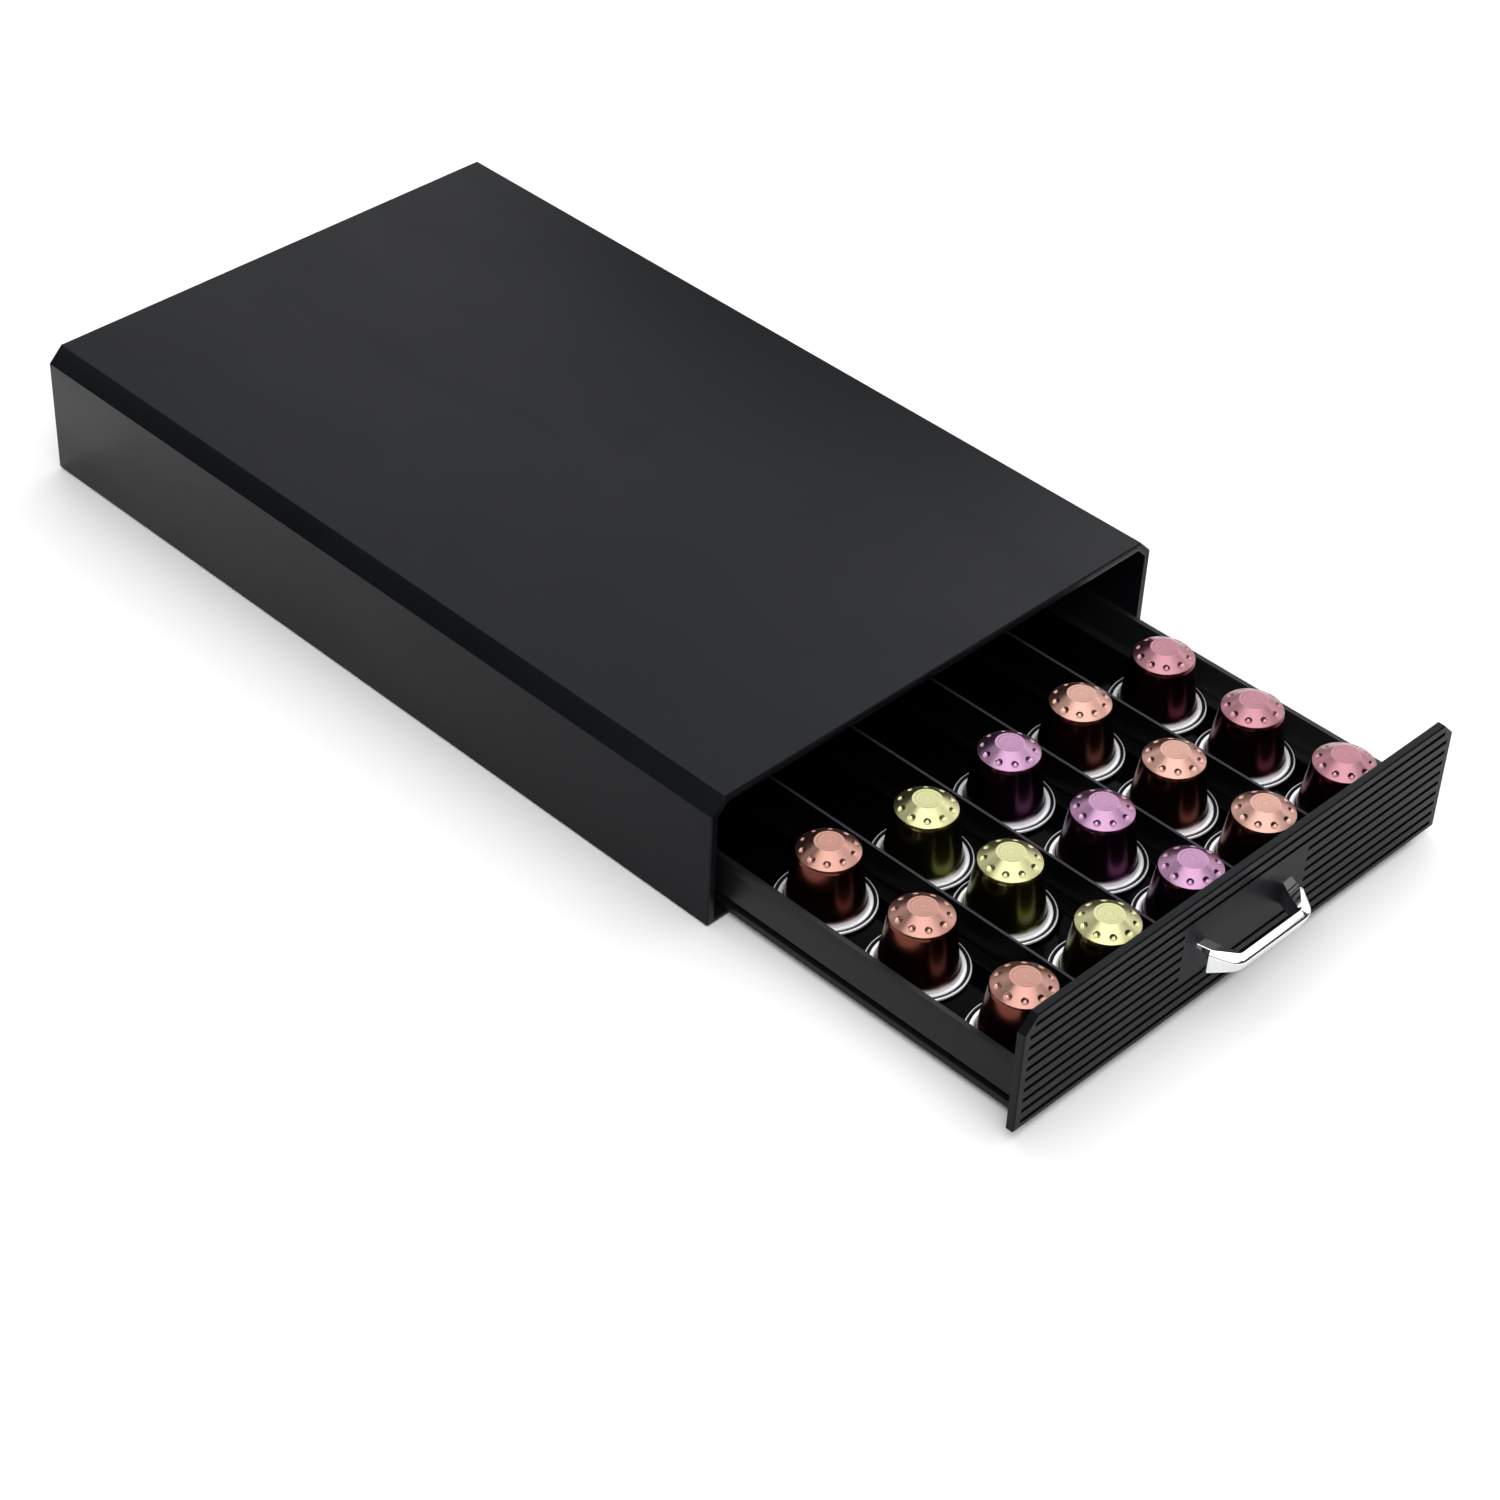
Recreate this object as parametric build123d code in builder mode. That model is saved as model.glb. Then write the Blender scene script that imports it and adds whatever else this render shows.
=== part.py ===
from build123d import *
import math
import os

# Coffee pod drawer: a low housing that stands under a coffee machine, with one
# drawer of five pod channels.  Millimetres.  X runs across the drawer, the
# drawer opens towards -Y, Z is up.  The origin is under the middle of the
# object as it stands, with the drawer part open, on the surface it rests on.

os.makedirs("parts", exist_ok=True)

# ---------------------------------------------------------------- pod sizes
pod_rim_radius = 18.5
pod_rim_top = 1.2
pod_bead_width = 1.2
pod_bead_round = 0.3
pod_groove_width = 0.6
pod_groove_depth = 0.35
pod_flare_height = 3.9
pod_body_radius = 14.5
pod_shoulder_radius = 11.45
pod_shoulder_height = 23.4
pod_shoulder_drop = 0.6
pod_disc_radius = 5.3
pod_height = 27.3
pod_wall = 0.5
pod_crown_wall = 0.9
pod_foil = 0.3
pod_foil_setback = 0.3
dimple_count = 10
dimple_ring_radius = 9.3
dimple_radius = 1.3
dimple_depth = 0.55

# --------------------------------------------------------------- tray sizes
channel_count = 5
channel_clearance = 3.64
divider_thickness = 1.2
divider_foot_width = 5.3
divider_foot_height = 0.8
divider_tab_length = 12.0
divider_tab_count = 3
divider_tab_fit = 0.1
tray_wall_height = 14.65
tray_side_thickness = 2.0
tray_front_thickness = 1.5
tray_back_thickness = 2.0
tray_floor_thickness = 1.5
front_flange_depth = 7.0
front_flange_thickness = 1.5
ledge_width = 8.0
ledge_thickness = 1.2
seam_setback = 4.0
web_thickness = 2.0
slot_height = 3.1
lip_thickness = 2.75
stop_tab_size = (8.0, 7.0)
stop_tab_proud = 1.4
stop_tab_peg_radius = 1.5
stop_tab_from_rear = 40.0

# ------------------------------------------------------------ housing sizes
housing_depth = 372.0
housing_height = 55.0
housing_wall = 3.0
housing_chamfer = 6.2
housing_edge_break = 0.5
base_thickness = 1.5
back_thickness = 3.0
foot_radius = 8.0
foot_thickness = 1.6
foot_stand_off = 0.8
foot_inset = 22.0
runner_thickness = 4.0
runner_height = 19.5
runner_setback = 6.0
tongue_thickness = 2.3
tongue_tip_gap = 1.0
stop_block_length = 6.0
stop_block_setback = 8.0
stop_block_wall_gap = 0.5

# ---------------------------------------------------- front panel and handle
panel_thickness = 3.2
panel_height = 49.1
panel_side_inset = 1.0
panel_chamfer = 5.9
panel_edge_break = 0.5
panel_lift = 3.1
groove_count = 10
groove_pitch = 4.68
groove_width = 1.8
groove_depth = 1.0
groove_margin = 3.0
groove_first_drop = 3.9
pad_width = 66.0
full_groove_count = 2
pad_groove_count = 5
handle_low = 18.3
handle_foot_height = 10.0
handle_foot_outer = 25.5
handle_foot_width = 4.9
handle_leg_bend = 3.6
handle_reach = 15.0
handle_bar_gap = 11.1
handle_bar_inner = 15.6
handle_bar_outer = 19.8
handle_bar_height = 8.0

# The handle's sections are five-sided.  These place their points as shares of
# the foot's width and height, and of the bar's depth and height.
handle_screw_share = (0.7, 0.58)
foot_ridge_share = 0.74
bend_drop_share = 0.05
bend_crown_share = 1.0
bend_ridge_share = 1.3
bend_sole_share = 1.3
bar_crown_share = (0.22, 0.98)
bar_ridge_share = 0.78
bar_sole_share = 0.42

# ------------------------------------------------------------------ screws
small_screw_radius = 1.1
small_head_radius = 2.4
small_head_height = 1.2
flat_head_radius = 1.9
countersink_angle = 82.0
panel_screw_bite = 1.8
tray_screw_bite = 1.0
tray_screw_rows = 4
handle_screw_bite = 4.5
runner_screw_bite = 2.0
runner_screw_rows = 3
base_screw_bite = 6.0
screw_fit = 0.05
drill_past = 1.0
boss_cover = 1.0
back_boss_width = 9.0
back_boss_depth = 6.0
back_boss_spacing = 120.0

# -------------------------------------------------------------- clearances
assembly_fit = 0.1
side_gap = 2.0
base_gap = 0.7
rear_gap = 4.0
closed_gap = 0.3
pod_gap = 0.3
rest_opening = 137.0

# ------------------------------------------------------------ worked widths
channel_width = 2 * pod_rim_radius + channel_clearance
channel_pitch = channel_width + divider_thickness
tray_inner = channel_count * channel_width + (channel_count - 1) * divider_thickness
tray_inner_x = tray_inner / 2
tray_outer_x = tray_inner_x + tray_side_thickness
seam_x = tray_inner_x - seam_setback
web_outer_x = seam_x + web_thickness
runner_inner_x = tray_outer_x + side_gap
housing_inner_x = runner_inner_x + runner_thickness
housing_outer_x = housing_inner_x + housing_wall
panel_half_width = housing_outer_x - panel_side_inset
tongue_tip_x = web_outer_x + tongue_tip_gap

# ----------------------------------------------------------- worked heights
housing_low = foot_stand_off
base_top = housing_low + base_thickness
housing_top = housing_low + housing_height
roof_low = housing_top - housing_wall
lip_low = base_top + base_gap
lip_top = lip_low + lip_thickness
tray_low = lip_top + slot_height
tray_floor_top = tray_low + tray_floor_thickness
pod_seat = tray_floor_top + divider_foot_height
tray_top = tray_floor_top + tray_wall_height
tongue_low = lip_top + (slot_height - tongue_thickness) / 2
panel_low = housing_low + panel_lift
panel_top = panel_low + panel_height
handle_bottom = panel_low + handle_low
handle_top = handle_bottom + handle_foot_height

# ------------------------------------------------------------ worked depths
tray_length = housing_depth - back_thickness - rear_gap + closed_gap
drawer_reach = closed_gap + rest_opening + panel_thickness + handle_reach
housing_front = (drawer_reach - housing_depth) / 2
housing_rear = housing_front + housing_depth
panel_back = housing_front - closed_gap - rest_opening
panel_front = panel_back - panel_thickness
tray_rear = panel_back + tray_length
runner_front = housing_front + runner_setback
runner_rear = housing_rear - back_thickness - assembly_fit
stop_tab_front = tray_rear - stop_tab_from_rear

sides = {"left": -1, "right": 1}


def write(piece, name):
    """Label a finished piece and write it under its node's name."""
    piece.part.label = name
    export_step(piece.part, f"parts/{name}.step")


def outline(side, points):
    """An outline of (distance from the middle, height), laid out on one side."""
    return [(side * x, z) for x, z in points]


def spread(count, low, high):
    """Places spaced evenly between two ends, half a step in from each."""
    step = (high - low) / count
    return [low + step * (n + 0.5) for n in range(count)]


# -------------------------------------------------------------- pan screw
# A small pan-head screw along +Z, its head's bearing face at Z = 0.
def pan_screw(length):
    with BuildPart() as screw:
        with BuildSketch(Plane.XY):
            Circle(small_screw_radius)
        extrude(amount=length)
        with BuildSketch(Plane.XY):
            Circle(small_head_radius)
        extrude(amount=-small_head_height)
        fillet(screw.edges().group_by(Axis.Z)[0], small_head_height / 3)
    return screw.part


# A countersunk screw along +Z, its flat head's face at Z = 0.
countersink_slope = math.tan(math.radians(countersink_angle / 2))
countersink_depth = (flat_head_radius - small_screw_radius) / countersink_slope


def flat_screw(length):
    with BuildPart() as screw:
        Cone(
            flat_head_radius,
            small_screw_radius,
            countersink_depth,
            align=(Align.CENTER, Align.CENTER, Align.MIN),
        )
        with BuildSketch(Plane.XY.offset(countersink_depth)):
            Circle(small_screw_radius)
        extrude(amount=length - countersink_depth)
    return screw.part


# ---------------------------------------------------------- housing shell
# An inverted trough: roof, two side walls and a flat chamfer along each long
# top edge, inside and out.
inner_chamfer = housing_chamfer + housing_wall * (math.sqrt(2) - 2)


def trough(half_width, top, chamfer_size, low):
    """The outline of a flat-topped trough with chamfered top corners."""
    return [
        (-half_width, low),
        (-half_width, top - chamfer_size),
        (-half_width + chamfer_size, top),
        (half_width - chamfer_size, top),
        (half_width, top - chamfer_size),
        (half_width, low),
    ]


runner_screw_height = base_top + runner_height * 0.75
runner_screw_depths = spread(runner_screw_rows, runner_front, runner_rear)
wall_screw_reach = runner_thickness + runner_screw_bite

with BuildPart() as housing_shell:
    with BuildSketch(Plane.XZ.offset(-housing_rear)):
        Polygon(*trough(housing_outer_x, housing_top, housing_chamfer, housing_low), align=None)
    extrude(amount=housing_depth)
    front_edges = housing_shell.faces().sort_by(Axis.Y)[0].edges().filter_by(Axis.Y, reverse=True)
    chamfer(front_edges.sort_by(Axis.Z)[1:], housing_edge_break)
    with BuildSketch(Plane.XZ.offset(-housing_rear)):
        Polygon(*trough(housing_inner_x, roof_low, inner_chamfer, housing_low), align=None)
    extrude(amount=housing_depth, mode=Mode.SUBTRACT)
    for side in sides.values():
        for depth in runner_screw_depths:
            hole_mouth = Plane(
                origin=(side * housing_inner_x, depth, runner_screw_height), z_dir=(-side, 0, 0)
            )
            with Locations(hole_mouth):
                Hole(small_screw_radius + screw_fit, depth=runner_screw_bite + screw_fit)
write(housing_shell, "housing_shell")

# ------------------------------------------------------------ housing base
# A plate between the side walls, recessed below for the feet and drilled for
# the countersunk screws that hold the runners and the back.
foot_x = housing_inner_x - foot_inset
foot_places = {
    "front_left_foot": (-foot_x, housing_front + foot_inset),
    "front_right_foot": (foot_x, housing_front + foot_inset),
    "rear_left_foot": (-foot_x, housing_rear - foot_inset),
    "rear_right_foot": (foot_x, housing_rear - foot_inset),
}
foot_recess = foot_thickness - foot_stand_off
runner_middle_x = runner_inner_x + runner_thickness / 2
back_boss_y = housing_rear - back_thickness - back_boss_depth / 2
boss_height = tray_low - base_top - base_gap
base_screw_places = [
    (side * runner_middle_x, depth)
    for side in sides.values()
    for depth in spread(runner_screw_rows, runner_front, runner_rear)
]
base_screw_places += [(side * back_boss_spacing / 2, back_boss_y) for side in sides.values()]
flat_head_hole = flat_head_radius + screw_fit

with BuildPart() as housing_base:
    with BuildSketch(Plane.XY.offset(housing_low)):
        with Locations((0, (housing_front + housing_rear) / 2)):
            Rectangle(2 * (housing_inner_x - assembly_fit), housing_depth)
    extrude(amount=base_thickness)
    with BuildSketch(Plane.XY.offset(housing_low)):
        with Locations(*foot_places.values()):
            Circle(foot_radius + assembly_fit)
    extrude(amount=foot_recess, mode=Mode.SUBTRACT)
    for place in base_screw_places:
        with Locations(Plane(origin=(*place, housing_low), z_dir=(0, 0, -1))):
            CounterSinkHole(
                small_screw_radius + screw_fit,
                flat_head_hole,
                depth=base_thickness + drill_past,
                counter_sink_angle=countersink_angle,
            )
write(housing_base, "housing_base")

# -------------------------------------------------------------------- feet
for name, place in foot_places.items():
    with BuildPart() as foot:
        with BuildSketch(Plane.XY):
            with Locations(place):
                Circle(foot_radius)
        extrude(amount=foot_thickness)
        fillet(foot.edges().sort_by(Axis.Z)[0], foot_stand_off / 2)
    write(foot, name)

# ------------------------------------------------------------ housing back
# A plate that closes the rear of the trough, with two blocks at its foot for
# the screws that come up through the base.
with BuildPart() as housing_back:
    with BuildSketch(Plane.XZ.offset(-housing_rear)):
        back_outline = trough(
            housing_inner_x - assembly_fit, roof_low - assembly_fit, inner_chamfer, base_top
        )
        Polygon(*back_outline, align=None)
    extrude(amount=back_thickness)
    with BuildSketch(Plane.XY.offset(base_top)):
        with Locations(*[(side * back_boss_spacing / 2, back_boss_y) for side in sides.values()]):
            Rectangle(back_boss_width, back_boss_depth)
    extrude(amount=boss_height)
    for side in sides.values():
        boss_foot = (side * back_boss_spacing / 2, back_boss_y, base_top)
        with Locations(Plane(origin=boss_foot, z_dir=(0, 0, -1))):
            Hole(
                small_screw_radius + screw_fit,
                depth=min(base_screw_bite - base_thickness, boss_height - boss_cover),
            )
write(housing_back, "housing_back")

# ----------------------------------------------------------------- runners
# Each runner is a rail against a side wall.  Its tongue carries the drawer in
# the slot along the tray's side, and a block near its front stops the drawer.
stop_block_low = base_top + runner_height / 2
for name, side in sides.items():
    with BuildPart() as runner:
        with BuildSketch(Plane.XZ.offset(-runner_rear)):
            rail = outline(
                side,
                [
                    (housing_inner_x, base_top),
                    (housing_inner_x, base_top + runner_height),
                    (runner_inner_x, base_top + runner_height),
                    (runner_inner_x, tongue_low + tongue_thickness),
                    (tongue_tip_x, tongue_low + tongue_thickness),
                    (tongue_tip_x, tongue_low),
                    (runner_inner_x, tongue_low),
                    (runner_inner_x, base_top),
                ],
            )
            Polygon(*rail, align=None)
        extrude(amount=runner_rear - runner_front)
        stop_width = side_gap - stop_block_wall_gap
        with BuildSketch(Plane.XY.offset(stop_block_low)):
            with Locations(
                (
                    side * (runner_inner_x - stop_width / 2),
                    runner_front + stop_block_setback + stop_block_length / 2,
                )
            ):
                Rectangle(stop_width, stop_block_length)
        extrude(amount=stop_tab_size[1])
        for depth in runner_screw_depths:
            inner_face = (side * runner_inner_x, depth, runner_screw_height)
            with Locations(Plane(origin=inner_face, z_dir=(-side, 0, 0))):
                CounterSinkHole(
                    small_screw_radius + screw_fit,
                    flat_head_hole,
                    depth=runner_thickness + drill_past,
                    counter_sink_angle=countersink_angle,
                )
            rail_foot = (side * runner_middle_x, depth, base_top)
            with Locations(Plane(origin=rail_foot, z_dir=(0, 0, -1))):
                Hole(small_screw_radius + screw_fit, depth=base_screw_bite - base_thickness)
    write(runner, f"{name}_runner")

with BuildPart() as runner_screws:
    for side in sides.values():
        for depth in runner_screw_depths:
            head_face = (side * runner_inner_x, depth, runner_screw_height)
            with Locations(Plane(origin=head_face, z_dir=(side, 0, 0))):
                add(flat_screw(wall_screw_reach))
write(runner_screws, "runner_screws")

with BuildPart() as base_screws:
    for place in base_screw_places:
        with Locations(Location((*place, housing_low))):
            add(flat_screw(base_screw_bite - screw_fit))
write(base_screws, "base_screws")

# -------------------------------------------------------------- tray sides
# Each side is one long profile: wall, raised shelf that carries the pod rims,
# a ledge under the floor, and the web and lip of the slot for the tongue.
tray_screw_x = seam_x - ledge_width / 2
tray_screw_depths = spread(tray_screw_rows, panel_back, tray_rear)
stop_tab_y = stop_tab_front + stop_tab_size[0] / 2
stop_tab_z = stop_block_low + stop_tab_size[1] / 2
for name, side in sides.items():
    with BuildPart() as tray_side:
        with BuildSketch(Plane.XZ.offset(-tray_rear)):
            profile = outline(
                side,
                [
                    (tray_outer_x, tray_low),
                    (tray_outer_x, tray_top),
                    (tray_inner_x, tray_top),
                    (tray_inner_x, pod_seat),
                    (seam_x, pod_seat),
                    (seam_x, tray_low),
                    (seam_x - ledge_width, tray_low),
                    (seam_x - ledge_width, tray_low - ledge_thickness),
                    (seam_x, tray_low - ledge_thickness),
                    (seam_x, lip_low),
                    (tray_outer_x, lip_low),
                    (tray_outer_x, lip_top),
                    (web_outer_x, lip_top),
                    (web_outer_x, tray_low),
                ],
            )
            Polygon(*profile, align=None)
        extrude(amount=tray_length)
        with Locations(
            Plane(origin=(side * tray_outer_x, stop_tab_y, stop_tab_z), z_dir=(side, 0, 0))
        ):
            Hole(stop_tab_peg_radius + screw_fit, depth=tray_side_thickness + drill_past)
        for depth in tray_screw_depths:
            under_ledge = (side * tray_screw_x, depth, tray_low - ledge_thickness)
            with Locations(Plane(origin=under_ledge, z_dir=(0, 0, -1))):
                Hole(small_screw_radius + screw_fit, depth=ledge_thickness)
    write(tray_side, f"tray_{name}_side")

    with BuildPart() as stop_tab:
        with Locations((side * (tray_outer_x + stop_tab_proud / 2), stop_tab_y, stop_tab_z)):
            Box(stop_tab_proud, *stop_tab_size)
        with Locations(
            Plane(origin=(side * tray_outer_x, stop_tab_y, stop_tab_z), z_dir=(-side, 0, 0))
        ):
            Cylinder(
                stop_tab_peg_radius,
                tray_side_thickness,
                align=(Align.CENTER, Align.CENTER, Align.MIN),
            )
    write(stop_tab, f"{name}_stop_tab")

# -------------------------------------------------------------- tray floor
divider_x = [channel_pitch * (n - channel_count / 2) for n in range(1, channel_count)]
tab_depths = spread(divider_tab_count, panel_back + tray_front_thickness, tray_rear)

with BuildPart() as tray_floor:
    with BuildSketch(Plane.XY.offset(tray_low)):
        with Locations((0, (panel_back + tray_rear) / 2)):
            Rectangle(2 * seam_x, tray_length)
        with Locations(*[(x, y) for x in divider_x for y in tab_depths]):
            Rectangle(
                divider_thickness + 2 * divider_tab_fit,
                divider_tab_length + 2 * divider_tab_fit,
                mode=Mode.SUBTRACT,
            )
    extrude(amount=tray_floor_thickness)
    for side in sides.values():
        for depth in tray_screw_depths:
            with Locations(Plane(origin=(side * tray_screw_x, depth, tray_low), z_dir=(0, 0, -1))):
                Hole(small_screw_radius + screw_fit, depth=tray_screw_bite)
write(tray_floor, "tray_floor")

with BuildPart() as tray_screws:
    for side in sides.values():
        for depth in tray_screw_depths:
            with Locations(Location((side * tray_screw_x, depth, tray_low - ledge_thickness))):
                add(pan_screw(ledge_thickness + tray_screw_bite - screw_fit))
write(tray_screws, "tray_screws")

# -------------------------------------------------- tray front and back walls
# The front wall is folded: its top flange reaches back over the pod rims.
pods_mid_x = [channel_pitch * (n - (channel_count - 1) / 2) for n in range(channel_count)]
groove_heights = [panel_top - groove_first_drop - n * groove_pitch for n in range(groove_count)]
panel_screw_z = (pod_seat + tray_top - front_flange_thickness) / 2
panel_screw_x = [x for x in pods_mid_x if abs(x) > pod_rim_radius]

with BuildPart() as tray_front:
    with BuildSketch(Plane.YZ.offset(-tray_inner_x)):
        with BuildLine():
            Polyline(
                (panel_back, pod_seat),
                (panel_back, tray_top),
                (panel_back + front_flange_depth, tray_top),
                (panel_back + front_flange_depth, tray_top - front_flange_thickness),
                (panel_back + tray_front_thickness, tray_top - front_flange_thickness),
                (panel_back + tray_front_thickness, pod_seat),
                close=True,
            )
        make_face()
    extrude(amount=tray_inner)
    with BuildSketch(Plane.XY.offset(tray_floor_top)):
        with Locations((0, panel_back + tray_front_thickness / 2)):
            Rectangle(2 * seam_x, tray_front_thickness)
    extrude(amount=divider_foot_height)
    for x in panel_screw_x:
        inner_face = (x, panel_back + tray_front_thickness, panel_screw_z)
        with Locations(Plane(origin=inner_face, z_dir=(0, 1, 0))):
            Hole(small_screw_radius + screw_fit, depth=tray_front_thickness)
write(tray_front, "tray_front")

with BuildPart() as tray_back:
    with BuildSketch(Plane.XY.offset(pod_seat)):
        with Locations((0, tray_rear - tray_back_thickness / 2)):
            Rectangle(tray_inner, tray_back_thickness)
    extrude(amount=tray_top - pod_seat)
    with BuildSketch(Plane.XY.offset(tray_floor_top)):
        with Locations((0, tray_rear - tray_back_thickness / 2)):
            Rectangle(2 * seam_x, tray_back_thickness)
    extrude(amount=divider_foot_height)
write(tray_back, "tray_back")

# ---------------------------------------------------------------- dividers
# Thin upright plates on a flat foot.  Tabs hold them in slots in the floor,
# and the front top corner is cut away under the front wall's flange.
divider_front = panel_back + tray_front_thickness
divider_rear = tray_rear - tray_back_thickness
divider_middle = (divider_front + divider_rear) / 2
for number, x in enumerate(divider_x, start=1):
    with BuildPart() as divider:
        with BuildSketch(Plane.XY.offset(tray_floor_top)):
            with Locations((x, divider_middle)):
                Rectangle(
                    divider_thickness + 2 * divider_foot_width, divider_rear - divider_front
                )
        extrude(amount=divider_foot_height)
        with BuildSketch(Plane.YZ.offset(x - divider_thickness / 2)):
            with BuildLine():
                Polyline(
                    (divider_front, tray_floor_top),
                    (divider_front, tray_top - front_flange_thickness - assembly_fit),
                    (
                        panel_back + front_flange_depth + assembly_fit,
                        tray_top - front_flange_thickness - assembly_fit,
                    ),
                    (panel_back + front_flange_depth + assembly_fit, tray_top),
                    (divider_rear, tray_top),
                    (divider_rear, tray_floor_top),
                    close=True,
                )
            make_face()
        extrude(amount=divider_thickness)
        with BuildSketch(Plane.XY.offset(tray_low)):
            with Locations(*[(x, y) for y in tab_depths]):
                Rectangle(divider_thickness, divider_tab_length)
        extrude(amount=tray_floor_thickness)
    write(divider, f"divider_{number}")

# ------------------------------------------------------------- front panel
# A plate that laps over the front of the housing, with fine level grooves
# that stop either side of a plain pad behind the handle.
handle_screw_x = handle_foot_outer - handle_screw_share[0] * handle_foot_width
handle_screw_z = handle_bottom + handle_screw_share[1] * handle_foot_height

with BuildPart() as front_panel:
    with BuildSketch(Plane.XZ.offset(-panel_back)):
        Polygon(*trough(panel_half_width, panel_top, panel_chamfer, panel_low), align=None)
    extrude(amount=panel_thickness)
    panel_face = front_panel.faces().sort_by(Axis.Y)[0]
    chamfer(panel_face.edges(), panel_edge_break)
    for number, height in enumerate(groove_heights, start=1):
        corner_cut = max(0, height - (panel_top - panel_chamfer))
        reach = panel_half_width - groove_margin - corner_cut
        with BuildSketch(Plane.XZ.offset(-panel_front)):
            with Locations((0, height)):
                Rectangle(2 * reach, groove_width)
                if full_groove_count < number <= full_groove_count + pad_groove_count:
                    Rectangle(pad_width, 2 * groove_width, mode=Mode.SUBTRACT)
        extrude(amount=-groove_depth, mode=Mode.SUBTRACT)
    for x in panel_screw_x:
        with Locations(Plane(origin=(x, panel_back, panel_screw_z), z_dir=(0, 1, 0))):
            Hole(small_screw_radius + screw_fit, depth=panel_screw_bite)
    for side in sides.values():
        screw_mouth = (side * handle_screw_x, panel_back, handle_screw_z)
        with Locations(Plane(origin=screw_mouth, z_dir=(0, 1, 0))):
            Hole(small_screw_radius + screw_fit, depth=panel_thickness)
write(front_panel, "front_panel")

with BuildPart() as panel_screws:
    for x in panel_screw_x:
        bearing_face = (x, panel_back + tray_front_thickness, panel_screw_z)
        with Locations(Plane(origin=bearing_face, z_dir=(0, -1, 0))):
            add(pan_screw(tray_front_thickness + panel_screw_bite - screw_fit))
write(panel_screws, "panel_screws")

# ------------------------------------------------------------------ handle
# A cast bow.  Five-sided sections follow one another round it: two on each
# leg and one in each corner's mitre.  The outer ridge starts on the leg.
mitre_run = math.hypot(handle_bar_outer - handle_bar_inner, handle_reach - handle_bar_gap)
mitre_way = (
    (handle_bar_outer - handle_bar_inner) / mitre_run,
    (handle_reach - handle_bar_gap) / mitre_run,
)
leg_slope = (handle_foot_outer - handle_foot_width - handle_bar_inner) / handle_bar_gap
leg_inner_bend = handle_foot_outer - handle_foot_width - leg_slope * handle_leg_bend
foot_ridge_z = handle_bottom + foot_ridge_share * handle_foot_height
bend_top = handle_top - bend_drop_share * handle_foot_height
foot_section = [
    (0, handle_top),
    (handle_foot_width, handle_top),
    (handle_foot_width, foot_ridge_z),
    (handle_foot_width, handle_bottom),
    (0, handle_bottom),
]
bend_section = [
    (0, bend_top),
    (bend_crown_share * handle_foot_width, bend_top),
    (bend_ridge_share * handle_foot_width, foot_ridge_z),
    (bend_sole_share * handle_foot_width, handle_bottom),
    (0, handle_bottom),
]
bar_section = [
    (0, handle_bottom + handle_bar_height),
    (bar_crown_share[0] * mitre_run, handle_bottom + bar_crown_share[1] * handle_bar_height),
    (mitre_run, handle_bottom + bar_ridge_share * handle_bar_height),
    (bar_sole_share * mitre_run, handle_bottom),
    (0, handle_bottom),
]
handle_stations = [
    (handle_foot_outer - handle_foot_width, 0, (1, 0), foot_section),
    (leg_inner_bend, handle_leg_bend, (1, 0), bend_section),
    (handle_bar_inner, handle_bar_gap, mitre_way, bar_section),
]
handle_stations += [
    (-x, out, (-way[0], way[1]), shape) for x, out, way, shape in reversed(handle_stations)
]

with BuildPart() as handle:
    for x, out, way, shape in handle_stations:
        outward = Vector(way[0], -way[1], 0)
        station = Plane(
            origin=(x, panel_front - out, 0), x_dir=outward, z_dir=outward.cross(Vector(0, 0, 1))
        )
        with BuildSketch(station):
            Polygon(*shape, align=None)
    loft(ruled=True)
    for side in sides.values():
        foot_face = (side * handle_screw_x, panel_front, handle_screw_z)
        with Locations(Plane(origin=foot_face, z_dir=(0, 1, 0))):
            Hole(small_screw_radius + screw_fit, depth=handle_screw_bite)
write(handle, "handle")

with BuildPart() as handle_screws:
    for side in sides.values():
        bearing_face = (side * handle_screw_x, panel_back, handle_screw_z)
        with Locations(Plane(origin=bearing_face, z_dir=(0, -1, 0))):
            add(pan_screw(panel_thickness + handle_screw_bite - screw_fit))
write(handle_screws, "handle_screws")

# -------------------------------------------------------------------- pods
# Each pod stands on its foil with its rim down.  The cup is one turned shell:
# flat disc, dimpled cone, tapered body, flare and beaded rim.
bead_inner = pod_rim_radius - pod_bead_width
groove_inner = bead_inner - pod_groove_width
cone_drop = (pod_height - pod_shoulder_height) / (pod_shoulder_radius - pod_disc_radius)
dimple_height = pod_height - cone_drop * (dimple_ring_radius - pod_disc_radius)
dimple_ball = (dimple_radius**2 + dimple_depth**2) / (2 * dimple_depth)
cone_slope = math.atan(cone_drop)
ball_lift = dimple_ball - dimple_depth

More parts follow.
